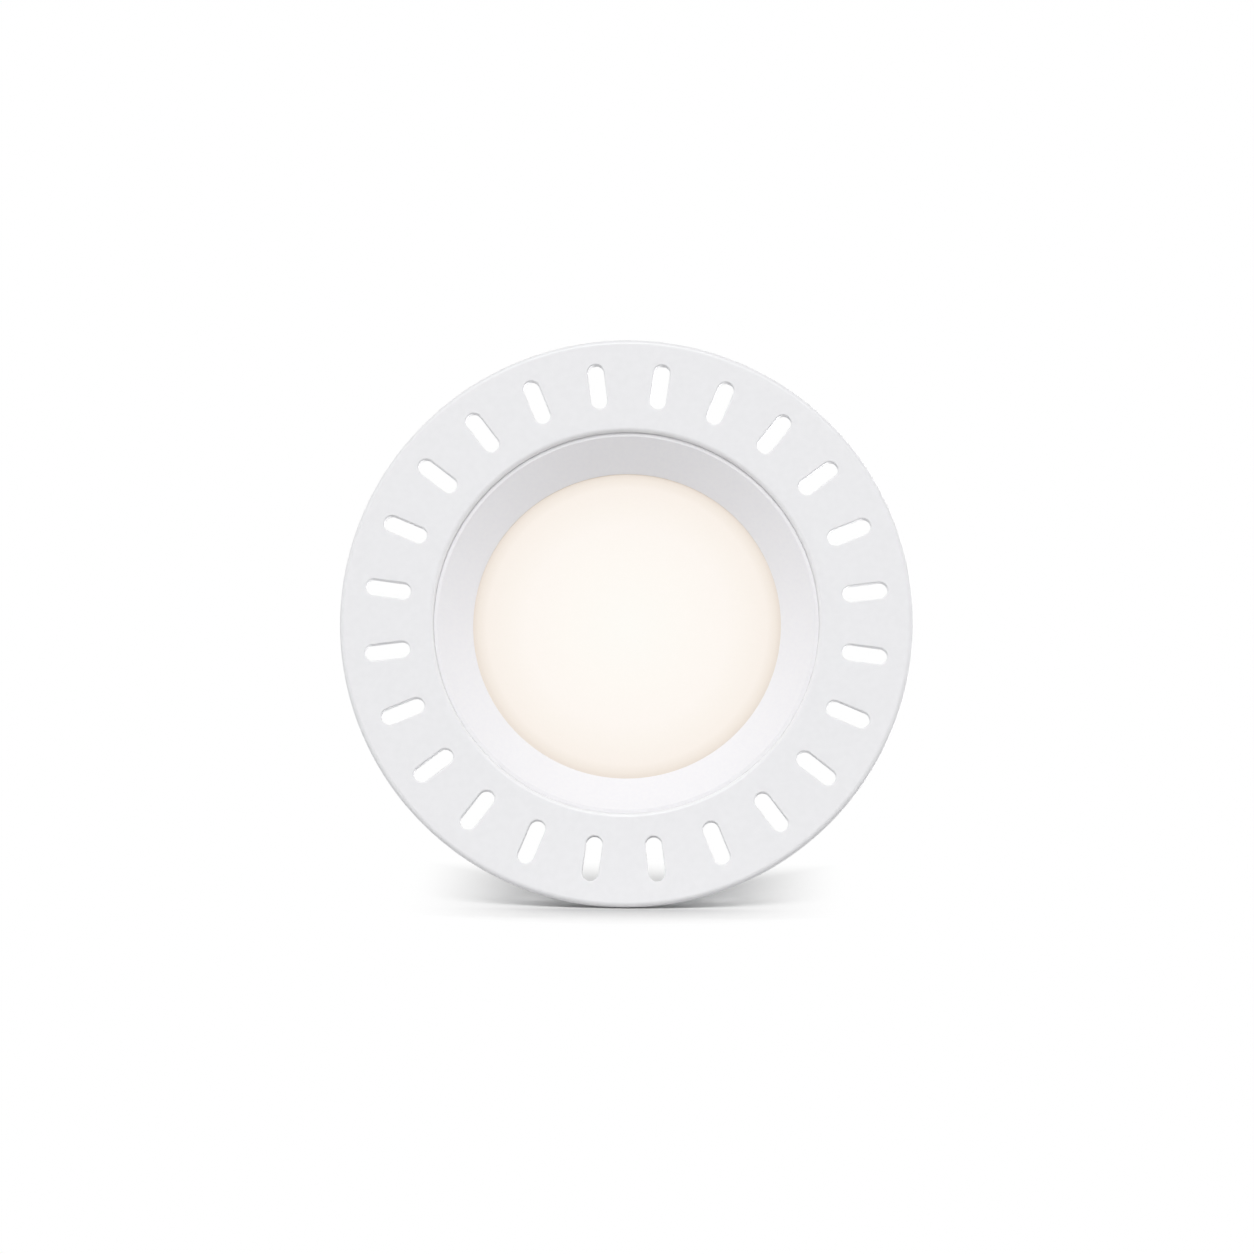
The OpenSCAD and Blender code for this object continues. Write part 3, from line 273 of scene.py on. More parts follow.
# Matt white coat inside the spun baffle: flatter than the ring's, so that the cone shows a smooth ramp
# of light.
baffle_coat = base_material("matt_baffle_coat", {"Roughness": 0.62, "IOR": 1.48}, grain_mm=1.2,
                            low="#eeedf0", high="#f0eff1", relief_mm=0.003, pattern_inputs={"Detail": 1})
# Closed-cell neoprene foam: skinned cells of about 0.8 mm, cut open along its edges.
foam = base_material("neoprene_foam", {"Roughness": 0.9, "IOR": 1.45}, grain_mm=0.8, low="#2f3032",
                     high="#434446", pattern="ShaderNodeTexVoronoi", relief_mm=0.12)
# Translucent silicone rubber, moulded: even, soft sheen with a light haze.
silicone = base_material("silicone_seal", {"Roughness": 0.45, "IOR": 1.41, "Subsurface Weight": 0.1},
                         grain_mm=3, low="#c6c8c9", high="#cdcfd0", relief_mm=0.01)
# White PET film, thermoformed into the mixing cup: fine matt haze.
reflector_film = base_material("white_reflector_film", {"Roughness": 0.7, "IOR": 1.52}, grain_mm=1.5,
                               low="#f3f3f1", high="#f8f8f6", relief_mm=0.006)
# White solder mask over aluminium core: glossy film with a slight flow mottle.
board_mask = base_material("white_solder_mask", {"Roughness": 0.28, "IOR": 1.5}, grain_mm=4,
                           low="#dbdfdd", high="#e3e7e4", relief_mm=0.01, roughness=(0.22, 0.34))
# Phosphor in silicone on the LED packages: powdery grains of 0.2 mm in a clear gel.
phosphor = base_material("led_phosphor", {"Roughness": 0.35, "IOR": 1.41}, grain_mm=0.2, low="#e8c545",
                         high="#f7dd70", relief_mm=0.01)
# Natural white nylon, moulded connectors: faint flow haze.
connector_nylon = base_material("connector_nylon", {"Roughness": 0.4, "IOR": 1.53}, grain_mm=1.5,
                                low="#f0efe7", high="#f7f6f0", relief_mm=0.008)
# Filled silicone gap pad: dull, slightly grainy.
gap_pad = base_material("gap_pad", {"Roughness": 0.85, "IOR": 1.42}, grain_mm=0.5, low="#86909c",
                        high="#949eaa", relief_mm=0.02)
# Die-cast aluminium, shot blasted: grains of about 0.6 mm that scatter the light, with softly uneven tone.
cast_aluminium = base_material("die_cast_aluminium", {"Metallic": 1}, grain_mm=0.6, low="#b7b9bc",
                               high="#c6c8cb", relief_mm=0.03, pattern_inputs={"Detail": 3},
                               roughness=(0.38, 0.55))
# Zinc plated steel screws: fine passivation haze in a bright film.
zinc_screw = base_material("zinc_plated_steel", {"Metallic": 1}, grain_mm=0.5, low="#b4b8bd",
                           high="#c6cacd", relief_mm=0.004, roughness=(0.22, 0.4))
# Rolled strip, zinc plated: rolling lines run along the strip, 0.15 mm apart, drawn 0.3 mm apart.
spring_strip = base_material("rolled_steel_strip", {"Metallic": 1}, grain_mm=0.3, low="#bfc3c8",
                             high="#cdd1d5", relief_mm=0.004, stretch=(1, 1, 0.08),
                             roughness=(0.26, 0.42))
# Drawn spring wire: dark oil-tempered skin with fine draw lines.
spring_wire = base_material("drawn_spring_wire", {"Metallic": 1}, grain_mm=0.25, low="#8f959b",
                            high="#a6acb2", relief_mm=0.003, roughness=(0.25, 0.38))
# Ground steel pins: bright, with fine grinding lines round them.
pin_steel = base_material("ground_steel", {"Metallic": 1}, grain_mm=0.2, low="#cfd2d5", high="#dadde0",
                          relief_mm=0.002, stretch=(0.1, 1, 1), roughness=(0.15, 0.26))
# Dipped black nylon: smooth skin with slight pooling.
nylon_black = base_material("dipped_nylon_black", {"Roughness": 0.38, "IOR": 1.53}, grain_mm=2,
                            low="#27292b", high="#303235", relief_mm=0.015)
# Polycarbonate case, spark-eroded mould: even grain of 0.35 mm.
case_plastic = base_material("polycarbonate_spark_texture", {"Roughness": 0.5, "IOR": 1.585},
                             grain_mm=0.35, low="#e9eaea", high="#eeefef", relief_mm=0.012)
# The same polycarbonate and grain for the lid, a shade whiter.
lid_plastic = base_material("polycarbonate_lid", {"Roughness": 0.48, "IOR": 1.585}, grain_mm=0.35,
                            low="#f1f2f2", high="#f5f6f6", relief_mm=0.012)
# Glass-epoxy board with green mask: glossy, weave of 0.5 mm faintly showing.
circuit_board = base_material("fr4_green_mask", {"Roughness": 0.3, "IOR": 1.55}, grain_mm=0.5,
                              low="#2b7749", high="#338455", pattern="ShaderNodeTexVoronoi",
                              pattern_inputs={"Randomness": 0.15}, relief_mm=0.01)
# Sintered ferrite: dark ceramic with a fine pressed grain.
ferrite = base_material("sintered_ferrite", {"Roughness": 0.6, "IOR": 1.9}, grain_mm=0.3, low="#343335",
                        high="#434244", relief_mm=0.01)
# Yellow polyester tape, wound over the wire: smooth film with fine creases round it, 0.5 mm apart.
winding_tape = base_material("polyester_tape_yellow", {"Roughness": 0.3, "IOR": 1.57}, grain_mm=0.5,
                             low="#dfb934", high="#edcb4b", stretch=(0.1, 0.1, 1), relief_mm=0.03)
# PVC shrink sleeves on the electrolytic capacitors: glossy, slightly rippled.
sleeve_blue = base_material("shrink_sleeve_blue", {"Roughness": 0.25, "IOR": 1.53}, grain_mm=2.5,
                            low="#232e45", high="#2b3751", relief_mm=0.02)
sleeve_grey = base_material("shrink_sleeve_grey", {"Roughness": 0.25, "IOR": 1.53}, grain_mm=2.5,
                            low="#2d3036", high="#363940", relief_mm=0.02)
# Epoxy-filled box of the film capacitor: smooth moulded PBT.
film_box = base_material("film_capacitor_box", {"Roughness": 0.35, "IOR": 1.57}, grain_mm=1.2,
                         low="#d1a928", high="#dcb636", relief_mm=0.008)
# Enamelled copper wire: glossy lacquer, warm, slightly uneven.
copper_wire = base_material("enamelled_copper",
                            {"Metallic": 0.9, "Coat Weight": 0.6, "Coat Roughness": 0.1}, grain_mm=0.6,
                            low="#9a5a2a", high="#b56f38", relief_mm=0.004, roughness=(0.25, 0.35))
# Ceramic fuse tube, glazed: hard gloss over a warm white body.
fuse_glaze = base_material("glazed_ceramic", {"Roughness": 0.18, "IOR": 1.55}, grain_mm=1.5,
                           low="#d3cbb8", high="#dfd8c6", relief_mm=0.006)
# Epoxy mould compound of chips: matt black with 0.2 mm filler grain.
chip_epoxy = base_material("chip_epoxy", {"Roughness": 0.55, "IOR": 1.55}, grain_mm=0.2, low="#1d1e21",
                           high="#26282b", relief_mm=0.008)
# Polyamide terminal block: bright white, moulded, slightly waxy.
terminal_plastic = base_material("polyamide_white", {"Roughness": 0.36, "IOR": 1.53}, grain_mm=1.2,
                                 low="#f4f3ed", high="#faf9f4", relief_mm=0.008)
# Stamped brass contacts: rolled lines and a soft tarnish.
brass = base_material("stamped_brass", {"Metallic": 1}, grain_mm=0.4, low="#c29a42", high="#d3ae58",
                      relief_mm=0.004, roughness=(0.24, 0.4))
# ABS, moulded: the release buttons' smooth orange, with a faint flow haze.
button_abs = base_material("abs_orange", {"Roughness": 0.34, "IOR": 1.54}, grain_mm=1.2, low="#ec8620",
                           high="#f39130", relief_mm=0.008)
# PVC lead insulation: extruded, with faint die lines along the lead.
lead_brown = base_material("pvc_brown", {"Roughness": 0.38, "IOR": 1.53}, grain_mm=0.5, low="#845538",
                           high="#8f5f42", stretch=(0.1, 1, 1), relief_mm=0.006)
lead_red = base_material("pvc_red", {"Roughness": 0.38, "IOR": 1.53}, grain_mm=0.5, low="#ad2327",
                         high="#ba2c30", stretch=(1, 1, 0.1), relief_mm=0.006)
# The earth lead's two colours run into each other about every 3 mm.
lead_green = base_material("pvc_green_yellow", {"Roughness": 0.38, "IOR": 1.53}, grain_mm=3,
                           low="#5fa03c", high="#b9c445", relief_mm=0.006)
# Rubber, moulded: black and matt, with a bloom.
rubber_black = base_material("moulded_rubber_black", {"Roughness": 0.68, "IOR": 1.5}, grain_mm=1,
                             low="#202123", high="#292a2c", relief_mm=0.02)


def opal_acrylic():
    """Opal acrylic lit from behind: brightest and whitest over the LED rings, warmer and dimmer where the
    mixing space ends at its edge. A fine haze of 0.8 mm keeps it from being a flat glow. Its body is
    greyer than the sheet itself, because what it throws back adds to the glow."""
    haze_mm, haze_relief, glow_strength = 0.8, 0.002, 0.72
    made = new_material("opal_acrylic_lit")
    tree = made.node_tree
    place = add(tree, "ShaderNodeTexCoord")
    flat = add(tree, "ShaderNodeVectorMath", {0: place.outputs["Object"], 1: (1, 1, 0)},
               operation="MULTIPLY")
    radius = add(tree, "ShaderNodeVectorMath", {0: flat.outputs[0]}, operation="LENGTH")
    reach = add(tree, "ShaderNodeMapRange", {"Value": radius.outputs["Value"], "From Max": LIGHT_R * MM})
    glow = add(tree, "ShaderNodeValToRGB", {"Fac": reach.outputs[0]})
    # colours from the middle to the edge, each at a share of the radius
    stops = [(0, "#f6f4ee"), (0.39, "#f7f2eb"), (0.65, "#f6efe8"), (0.78, "#f3ebe2"), (0.91, "#f0e6dc"),
             (0.965, "#e6dacd"), (1, "#d8c9ba")]
    ramp = glow.color_ramp
    for share, _ in stops[1:-1]:
        ramp.elements.new(share)
    for element, (share, colour) in zip(ramp.elements, stops):
        element.position, element.color = share, linear(colour)
    haze = add(tree, "ShaderNodeTexNoise",
               {"Vector": place.outputs["Object"], "Scale": 1 / (haze_mm * MM), "Detail": 2})
    bump = add(tree, "ShaderNodeBump", {"Height": haze.outputs[0], "Distance": haze_relief * MM})
    body = add(tree, "ShaderNodeValToRGB", {"Fac": haze.outputs[0]})
    first, second = body.color_ramp.elements
    first.color, second.color = linear("#8f8d89"), linear("#939190")
    shader = add(tree, "ShaderNodeBsdfPrincipled",
                 {"Base Color": body.outputs[0], "Roughness": 0.45, "IOR": 1.49, "Normal": bump.outputs[0],
                  "Emission Color": glow.outputs[0], "Emission Strength": glow_strength})
    add(tree, "ShaderNodeOutputMaterial", {"Surface": shader.outputs[0]})
    return made


opal = opal_acrylic()


# ---------------------------------------------------------------- ring

# the rounding of the ring's rear edge and of the collar's edges
EDGE_ROUND = 0.25


def trim_ring_piece():
    """the flange with its rounded rim and mouth, the collar and the hub, turned in one profile"""
    profile = (
        arc(TRIM_R - RIM_FILLET, Z_FRONT + RIM_FILLET, RIM_FILLET, -90, 0, 10)
        + arc(TRIM_R - EDGE_ROUND, Z_REAR - EDGE_ROUND, EDGE_ROUND, 0, 90, 3)
        + [(COLLAR_R, Z_REAR), (COLLAR_R, Z_COLLAR - EDGE_ROUND)]
        + arc(COLLAR_R - EDGE_ROUND, Z_COLLAR - EDGE_ROUND, EDGE_ROUND, 0, 90, 3)[1:]
        + arc(COLLAR_IN_R + EDGE_ROUND, Z_COLLAR - EDGE_ROUND, EDGE_ROUND, 90, 180, 3)
        + [(COLLAR_IN_R, Z_REAR), (HUB_R, Z_REAR), (HUB_R, Z_JOINT), (OPENING_R, Z_JOINT)]
        + arc(OPENING_R + MOUTH_FILLET, Z_FRONT + MOUTH_FILLET, MOUTH_FILLET, 180, 270, 10)
    )
    piece = turned("vented_trim_ring", profile, steps=288)
    combine(piece, slot_cutters(), "DIFFERENCE")
    return piece


def slot_cutters():
    """all slots in one mesh: each a stadium shaft that flares into a rounded lip at the front"""
    end_steps, lip_steps = 20, 5
    flare = arc(SLOT_LIP, SLOT_LIP, SLOT_LIP, 180, 270, lip_steps)
    levels = ([(0, Z_REAR + PAST)] + [(grow, Z_FRONT + rise) for grow, rise in flare]
              + [(SLOT_LIP, Z_FRONT - PAST)])
    sections = [[(x, y, z) for x, y in stadium(SLOT_L + 2 * grow, SLOT_W + 2 * grow, end_steps)]
                for grow, z in levels]
    bm = bmesh.new()
    for i in range(SLOT_COUNT):
        turn = Matrix.Rotation(math.radians((i + 0.5) * FULL_TURN / SLOT_COUNT), 4, "Z")
        loft_into(bm, sections, turn @ Matrix.Translation((SLOT_MIDDLE_R, 0, 0)))
    return new_piece("slot_cutters", bm)


def posts(name, places, radius, low, high):
    """round posts along Z in one mesh, used as bosses or as drills"""
    profile = [(radius, low), (radius, high), (0, high), (0, low)]
    bm = bmesh.new()
    for x, y in places:
        turn_into(bm, profile, steps=48, place=Matrix.Translation((x, y, 0)))
    return new_piece(name, bm)


ring_mesh = trim_ring_piece()
boss_places = [polar(BOSS_PLACE, angle) for angle in BOSS_ANGLES]
# the bosses start inside the flange, so that the two join
BOSS_SINK = 0.5
bosses = posts("hub_bosses", boss_places, BOSS_R, Z_REAR - BOSS_SINK, Z_JOINT)
bores = posts("boss_bores", boss_places, BOSS_BORE_R, Z_JOINT - BOSS_BORE_L, Z_JOINT + PAST)
combine(ring_mesh, bosses, "UNION")
combine(ring_mesh, bores, "DIFFERENCE")
ring = stands_for(ring_mesh, powder_coat, "white_coat", "root", "trim_ring")
soften(ring)

# the baffle fills the mouth but for a hairline
HAIRLINE = 0.035
EDGE_R = OPENING_R - HAIRLINE
# its front lip: where the flat and the cone start, inwards from its outside, and the broken edges
LIP_FLAT, LIP_CONE, LIP_BREAK, CONE_BREAK = 0.95, 1.1, 0.12, 0.08
# its lip round the light: height of the inner edge, height where the cone ends, and the broken edge
INNER_LIP_T, INNER_CONE_T, INNER_BREAK = 0.45, 0.6, 0.12
# where its wall turns inwards behind the cone
Z_SHOULDER = 0.4
baffle_profile = [
    (EDGE_R, Z_LIP + LIP_BREAK), (EDGE_R, Z_JOINT), (BAFFLE_R - BAFFLE_WALL, Z_JOINT),
    (BAFFLE_R - BAFFLE_WALL, Z_SHOULDER), (DIFFUSER_R + BAFFLE_WALL, Z_LIGHT),
    (DIFFUSER_R + BAFFLE_WALL, Z_SEAL), (DIFFUSER_R, Z_SEAL), (DIFFUSER_R, Z_LIGHT),
    (LIGHT_R, Z_LIGHT), (LIGHT_R, Z_LIGHT - INNER_LIP_T), (LIGHT_R + INNER_BREAK, Z_LIGHT - INNER_CONE_T),
    (BAFFLE_R - LIP_CONE, Z_LIP + CONE_BREAK), (BAFFLE_R - LIP_FLAT, Z_LIP), (EDGE_R - LIP_BREAK, Z_LIP),
]
baffle = stands_for(turned("cone_baffle", baffle_profile, steps=288), baffle_coat, "baffle_coat", "root",
                    "baffle_cone")
soften(baffle)

disc_r, disc_break = DIFFUSER_R - DIFFUSER_FIT, 0.3
disc_profile = [(0, Z_LIGHT), (disc_r - disc_break, Z_LIGHT), (disc_r, Z_LIGHT + disc_break),
                (disc_r, Z_SEAL - disc_break), (disc_r - disc_break, Z_SEAL), (0, Z_SEAL)]
disc = stands_for(turned("opal_diffuser", disc_profile, steps=256), opal, "opal", "root", "diffuser")
soften(disc)

gasket_round = 0.35
gasket_profile = (
    arc(GASKET_OUT_R - gasket_round, Z_SOFFIT - gasket_round, gasket_round, 0, 90, 4)
    + arc(GASKET_IN_R + gasket_round, Z_SOFFIT - gasket_round, gasket_round, 90, 180, 4)
    + [(GASKET_IN_R, Z_REAR), (GASKET_OUT_R, Z_REAR)]
)
gasket = stands_for(turned("foam_gasket", gasket_profile), foam, "foam", "root", "soffit_gasket")
soften(gasket)

seal_round = 0.3
seal_profile = (
    arc(disc_r - seal_round, Z_JOINT - seal_round, seal_round, 0, 90, 4)
    + arc(disc_r - SEAL_W + seal_round, Z_JOINT - seal_round, seal_round, 90, 180, 4)
    + [(disc_r - SEAL_W, Z_SEAL), (disc_r, Z_SEAL)]
)
seal = stands_for(turned("silicone_ring_seal", seal_profile), silicone, "silicone", "root", "diffuser_seal")
soften(seal)


# ---------------------------------------------------------------- spring clips

def wire_tube(name, path, place):
    """a round wire along a path, its ends slightly rounded"""
    sides = 12
    # each end in shares of the wire's radius: its flat, where it starts to round, and how far it stands out
    flat, round_start, stand_out = 0.6, 0.3, 0.01
    spokes = [2 * math.pi * k / sides for k in range(sides)]
    points = [Vector(point) for point in path]
    sections = []
    for i, point in enumerate(points):
        ahead = (points[min(i + 1, len(points) - 1)] - points[max(i - 1, 0)]).normalized()
        across = ahead.cross(Vector((0, 1, 0))).normalized()
        up = across.cross(ahead)
        sections.append([point + WIRE_R * (math.cos(spoke) * across + math.sin(spoke) * up)
                         for spoke in spokes])
    caps = []
    for end, inner in ((0, 1), (-1, -2)):
        heading = (points[end] - points[inner]).normalized()
        caps.append([points[end] + (corner - points[end]) * flat + heading * WIRE_R * stand_out
                     for corner in sections[end]])
        sections[end] = [corner - heading * WIRE_R * round_start for corner in sections[end]]
    bm = bmesh.new()
    loft_into(bm, [caps[0]] + sections + [caps[1]], place)
    return new_piece(name, bm)


def coil_path():
    """one and a half turns round the pin, then a straight leg that lies just over the arm"""
    start, turns, rings, leg_gap = 0.25, 1.5, 54, 0.1
    path = []
    for i in range(rings + 1):
        x, z = polar(COIL_R, 90 - LEG_SLOPE + (rings - i) * turns * FULL_TURN / rings)
        path.append((x, start + i * (COIL_HALF_L - start) / rings, z))
    level, drop = polar(1, LEG_SLOPE)
    leg_l = (COIL_R - (ARM_T / 2 + WIRE_R + leg_gap) * level) / drop
    # places along the straight leg, closer together where it leaves the coil
    for along in (1, 4, 8, leg_l):
        path.append((COIL_R * drop + along * level, COIL_HALF_L, COIL_R * level - along * drop))
    return path


def tail_path():
    """up the bracket, once round the pin, ending beside the coil"""
    rings = 36
    foot, below_pin = -4.4, -0.9
    path = [(-COIL_R, -COIL_HALF_L, z) for z in (foot, foot / 2, below_pin)]
    for i in range(rings + 1):
        x, z = polar(COIL_R, 180 - i * FULL_TURN / rings)
        path.append((x, -COIL_HALF_L + i * COIL_PITCH / rings, z))
    return path


def sleeve_piece(name, place):
    """a dipped sleeve over the arm's tip: thin at its mouth, full and round at its end"""
    corner_r, corner_steps, thinnest_half = 1.1, 5, 0.45
    half_w, half_t = ARM_W / 2 + SLEEVE_WALL, ARM_T / 2 + SLEEVE_WALL
    start, end = ARM_L - SLEEVE_L, ARM_L + SLEEVE_WALL
    # places along the arm, and how much slimmer than its full size the sleeve is there
    levels = [(start, 0.35), (start + 0.2, 0.12), (start + 0.8, 0),
              (end - 1, 0), (end - 0.35, 0.12), (end - 0.08, 0.4), (end, 0.75)]
    sections = []
    for x, inset in levels:
        wide, thick = half_w - inset, half_t - min(inset, half_t - thinnest_half)
        r = min(thick, corner_r)
        outline = []
        for side_y, side_z, first in ((1, 1, 0), (-1, 1, 90), (-1, -1, 180), (1, -1, 270)):
            outline += arc(side_y * (wide - r), side_z * (thick - r), r, first, first + 90, corner_steps)
        sections.append([(x, y, z) for y, z in outline])
    bm = bmesh.new()
    loft_into(bm, sections, place)
    return new_piece(name, bm)


for letter, angle in CLIP_ANGLES.items():
    pivot = Matrix.Rotation(math.radians(angle), 4, "Z") @ Matrix.Translation((PIVOT_R, 0, PIVOT_Z))
    arm = pivot @ Matrix.Rotation(math.radians(ARM_REST), 4, "Y")
    coil = wire_tube(f"torsion_coil_{letter}", coil_path(), arm)
    tail = wire_tube(f"torsion_tail_{letter}", tail_path(), pivot)
    sleeve = sleeve_piece(f"dipped_tip_{letter}", arm)
    stands_for(coil, spring_wire, "spring_wire", f"clip_{letter}", f"clip_spring_{letter}")
    stands_for(tail, spring_wire, "spring_wire", "root", f"spring_tail_{letter}")
    stands_for(sleeve, nylon_black, "nylon_black", f"clip_{letter}", f"tip_sleeve_{letter}")
    for piece in (coil, tail, sleeve):
        soften(piece)


# ---------------------------------------------------------------- pad, windings and grommet

PAD_R, PAD_HOLE_ANGLES, PAD_HOLE_PLACE, PAD_HOLE_R = 46, (60, 180, 300), 41, 1.3
LEAD_HOLE, LEAD_HOLE_R = (33, 0), 2.6
pad_round = 0.1
pad_profile = [(0, Z_PAD), (PAD_R - pad_round, Z_PAD), (PAD_R, Z_PAD + pad_round),
               (PAD_R, Z_PLATE - pad_round), (PAD_R - pad_round, Z_PLATE), (0, Z_PLATE)]
pad_mesh = turned("gap_filler_pad", pad_profile)
screw_places = [polar(PAD_HOLE_PLACE, angle) for angle in PAD_HOLE_ANGLES]
for name, places, hole_r in (("screw_holes", screw_places, PAD_HOLE_R),
                             ("lead_hole", [LEAD_HOLE], LEAD_HOLE_R)):
    combine(pad_mesh, posts(name, places, hole_r, Z_PAD - PAST, Z_PLATE + PAST), "DIFFERENCE")
soften(stands_for(pad_mesh, gap_pad, "gap_pad", "root", "thermal_pad"))


# the wire's diameter, and the radius of the core under both windings
WIRE_D, CORE_R = 0.7, 2


def wound(outer_r, low, high):
    """profile of a winding: turns of round wire side by side, over a core"""
    count = round((high - low) / WIRE_D)
    pitch = (high - low) / count
    points = []
    for i in range(count):
        points += arc(outer_r - pitch / 2, low + pitch * (i + 0.5), pitch / 2, -80, 80, 6)
    return points + [(CORE_R, high), (CORE_R, low)]


# the transformer's winding is round, and cut flat where the core's two legs pass it
TRANSFORMER = (14, 5, 0)
WINDING_R, WINDING_HALF_L, WINDING_LOW, WINDING_HIGH = 7, 5.8, 45.4, 51.0
bm = bmesh.new()
turn_into(bm, wound(WINDING_R, WINDING_LOW, WINDING_HIGH), steps=96)
for side in (-1, 1):
    cut = bmesh.ops.bisect_plane(bm, geom=bm.verts[:] + bm.edges[:] + bm.faces[:], clear_outer=True,
                                 plane_co=(side * WINDING_HALF_L, 0, 0), plane_no=(side, 0, 0))
    rim = [e for e in cut["geom_cut"] if isinstance(e, bmesh.types.BMEdge)]
    bmesh.ops.holes_fill(bm, edges=rim)
bmesh.ops.translate(bm, verts=bm.verts, vec=TRANSFORMER)
winding = new_piece("taped_winding", bm)
soften(stands_for(winding, winding_tape, "winding_tape", "root", "transformer_winding"))

CHOKE = Matrix.Translation((12, -14.5, 0))
CHOKE_LOW, CHOKE_HIGH, CHOKE_R, CHOKE_WOUND_R = 41.2, 50.2, 4.4, 3.4
FLANGE_T, FLANGE_BREAK = 1, 0.2
WOUND_LOW, WOUND_HIGH = CHOKE_LOW + FLANGE_T, CHOKE_HIGH - FLANGE_T


def spool_flange(low):
    """profile of one end of the choke's spool, with broken edges"""
    high = low + FLANGE_T
    return [(CHOKE_R - FLANGE_BREAK, low), (CHOKE_R, low + FLANGE_BREAK),
            (CHOKE_R, high - FLANGE_BREAK), (CHOKE_R - FLANGE_BREAK, high)]


spool_profile = (
    [(0, CHOKE_LOW)] + spool_flange(CHOKE_LOW) + [(CORE_R, WOUND_LOW), (CORE_R, WOUND_HIGH)]
    + spool_flange(WOUND_HIGH) + [(0, CHOKE_HIGH)]
)
spool = turned("choke_spool", spool_profile, steps=64, place=CHOKE)
turns = turned("choke_wire", wound(CHOKE_WOUND_R, WOUND_LOW, WOUND_HIGH), steps=64, place=CHOKE)
soften(stands_for(spool, ferrite, "ferrite", "root", "input_choke"))
soften(stands_for(turns, copper_wire, "copper_wire", "root", "input_choke"))

# the grommet's seat in the wall of the driver's case, where the cord comes in
ENTRY_X, ENTRY_Z, CASE_WALL = -46, 47.6, 2
GROMMET_R, GROMMET_SEAT_R, CORD_BORE_R, GROMMET_LIP = 7, 5.6, 3.6, 1.2
lip_round, mouth_round = 0.5, 0.4
grommet_profile = (
    arc(GROMMET_R - lip_round, -GROMMET_LIP + lip_round, lip_round, -90, 0, 5)
    + [(GROMMET_R, 0), (GROMMET_SEAT_R, 0), (GROMMET_SEAT_R, CASE_WALL), (GROMMET_R, CASE_WALL)]
    + arc(GROMMET_R - lip_round, CASE_WALL + GROMMET_LIP - lip_round, lip_round, 0, 90, 5)
    + arc(CORD_BORE_R + mouth_round, CASE_WALL + GROMMET_LIP - mouth_round, mouth_round, 90, 180, 4)
    + arc(CORD_BORE_R + mouth_round, -GROMMET_LIP + mouth_round, mouth_round, 180, 270, 4)
)
entry = Matrix.Translation((ENTRY_X, 0, ENTRY_Z)) @ Matrix.Rotation(math.radians(90), 4, "Y")
grommet = turned("rubber_grommet", grommet_profile, steps=96, place=entry)
soften(stands_for(grommet, rubber_black, "rubber_black", "root", "cord_grommet"))


# ---------------------------------------------------------------- carried-over solids

# the solids that show as they are: each one's material, and how far its edges are broken
carried = {
    "mixing_reflector": (reflector_film, 0.15), "led_board": (board_mask, 0.1),
    "led_packages": (phosphor, 0.1), "board_connector": (connector_nylon, 0.2),
    "heat_sink": (cast_aluminium, 0.3), "board_screws": (zinc_screw, 0.15),
    "trim_screws": (zinc_screw, 0.2), "bracket_screws": (zinc_screw, 0.2),
    "driver_case": (case_plastic, 0.3), "driver_cover": (case_plastic, 0.3),
    "terminal_lid": (lid_plastic, 0.3), "cover_screws": (zinc_screw, 0.15),
    "case_screws": (zinc_screw, 0.2), "driver_board": (circuit_board, 0.1),
    "transformer_core": (ferrite, 0.3), "bulk_capacitor": (sleeve_blue, 0.4),
    "output_capacitor": (sleeve_grey, 0.3), "film_capacitor": (film_box, 0.4), "fuse": (fuse_glaze, 0.2),
    "rectifier_and_chips": (chip_epoxy, 0.15), "board_headers": (connector_nylon, 0.25),
    "terminal_block": (terminal_plastic, 0.25), "terminal_contacts": (brass, 0.1),
    "release_button_live": (button_abs, 0.25), "release_button_neutral": (button_abs, 0.25),
    "release_button_earth": (button_abs, 0.25), "driver_leads": (lead_brown, 0.1),
    "led_leads": (lead_red, 0.1), "earth_lead": (lead_green, 0.1), "earth_screw": (brass, 0.2),
    "cord_clamp": (nylon_black, 0.4), "clamp_screws": (zinc_screw, 0.15),
    "lid_hinge_pin": (pin_steel, 0.15),
}
for letter in CLIP_ANGLES:
    carried[f"clip_bracket_{letter}"] = (spring_strip, 0.2)
    carried[f"clip_arm_{letter}"] = (spring_strip, 0.15)
    carried[f"clip_pin_{letter}"] = (pin_steel, 0.15)
for name, (material, edge_radius) in carried.items():
    dress(nodes[name], material)
    soften(nodes[name], edge_radius)


# ---------------------------------------------------------------- floor, light and camera

def seen_rays(tree):
    """1 for the rays that see: from the camera, off a gloss and through glass"""
    path = add(tree, "ShaderNodeLightPath")
    seen = add(tree, "ShaderNodeMath", {0: path.outputs["Is Camera Ray"], 1: path.outputs["Is Glossy Ray"]},
               operation="MAXIMUM")
    through = add(tree, "ShaderNodeMath", {0: seen.outputs[0], 1: path.outputs["Is Transmission Ray"]},
                  operation="MAXIMUM")
    return through.outputs[0]


# the floor slopes up to the back by so many degrees, seen nearly edge on. It reaches so many mm to each side
# and to the front, and it ends behind where its shadow has faded, so that it doesn't hide the lamp there
FLOOR_SLOPE, FLOOR_REACH, FLOOR_BEHIND = 14.4, 3000, 130
# what it shows, and what it throws back, which is less, as if a dark flag lay outside the picture
FLOOR_WHITE, FLOOR_BOUNCE = "#f4f4f4", "#dadada"
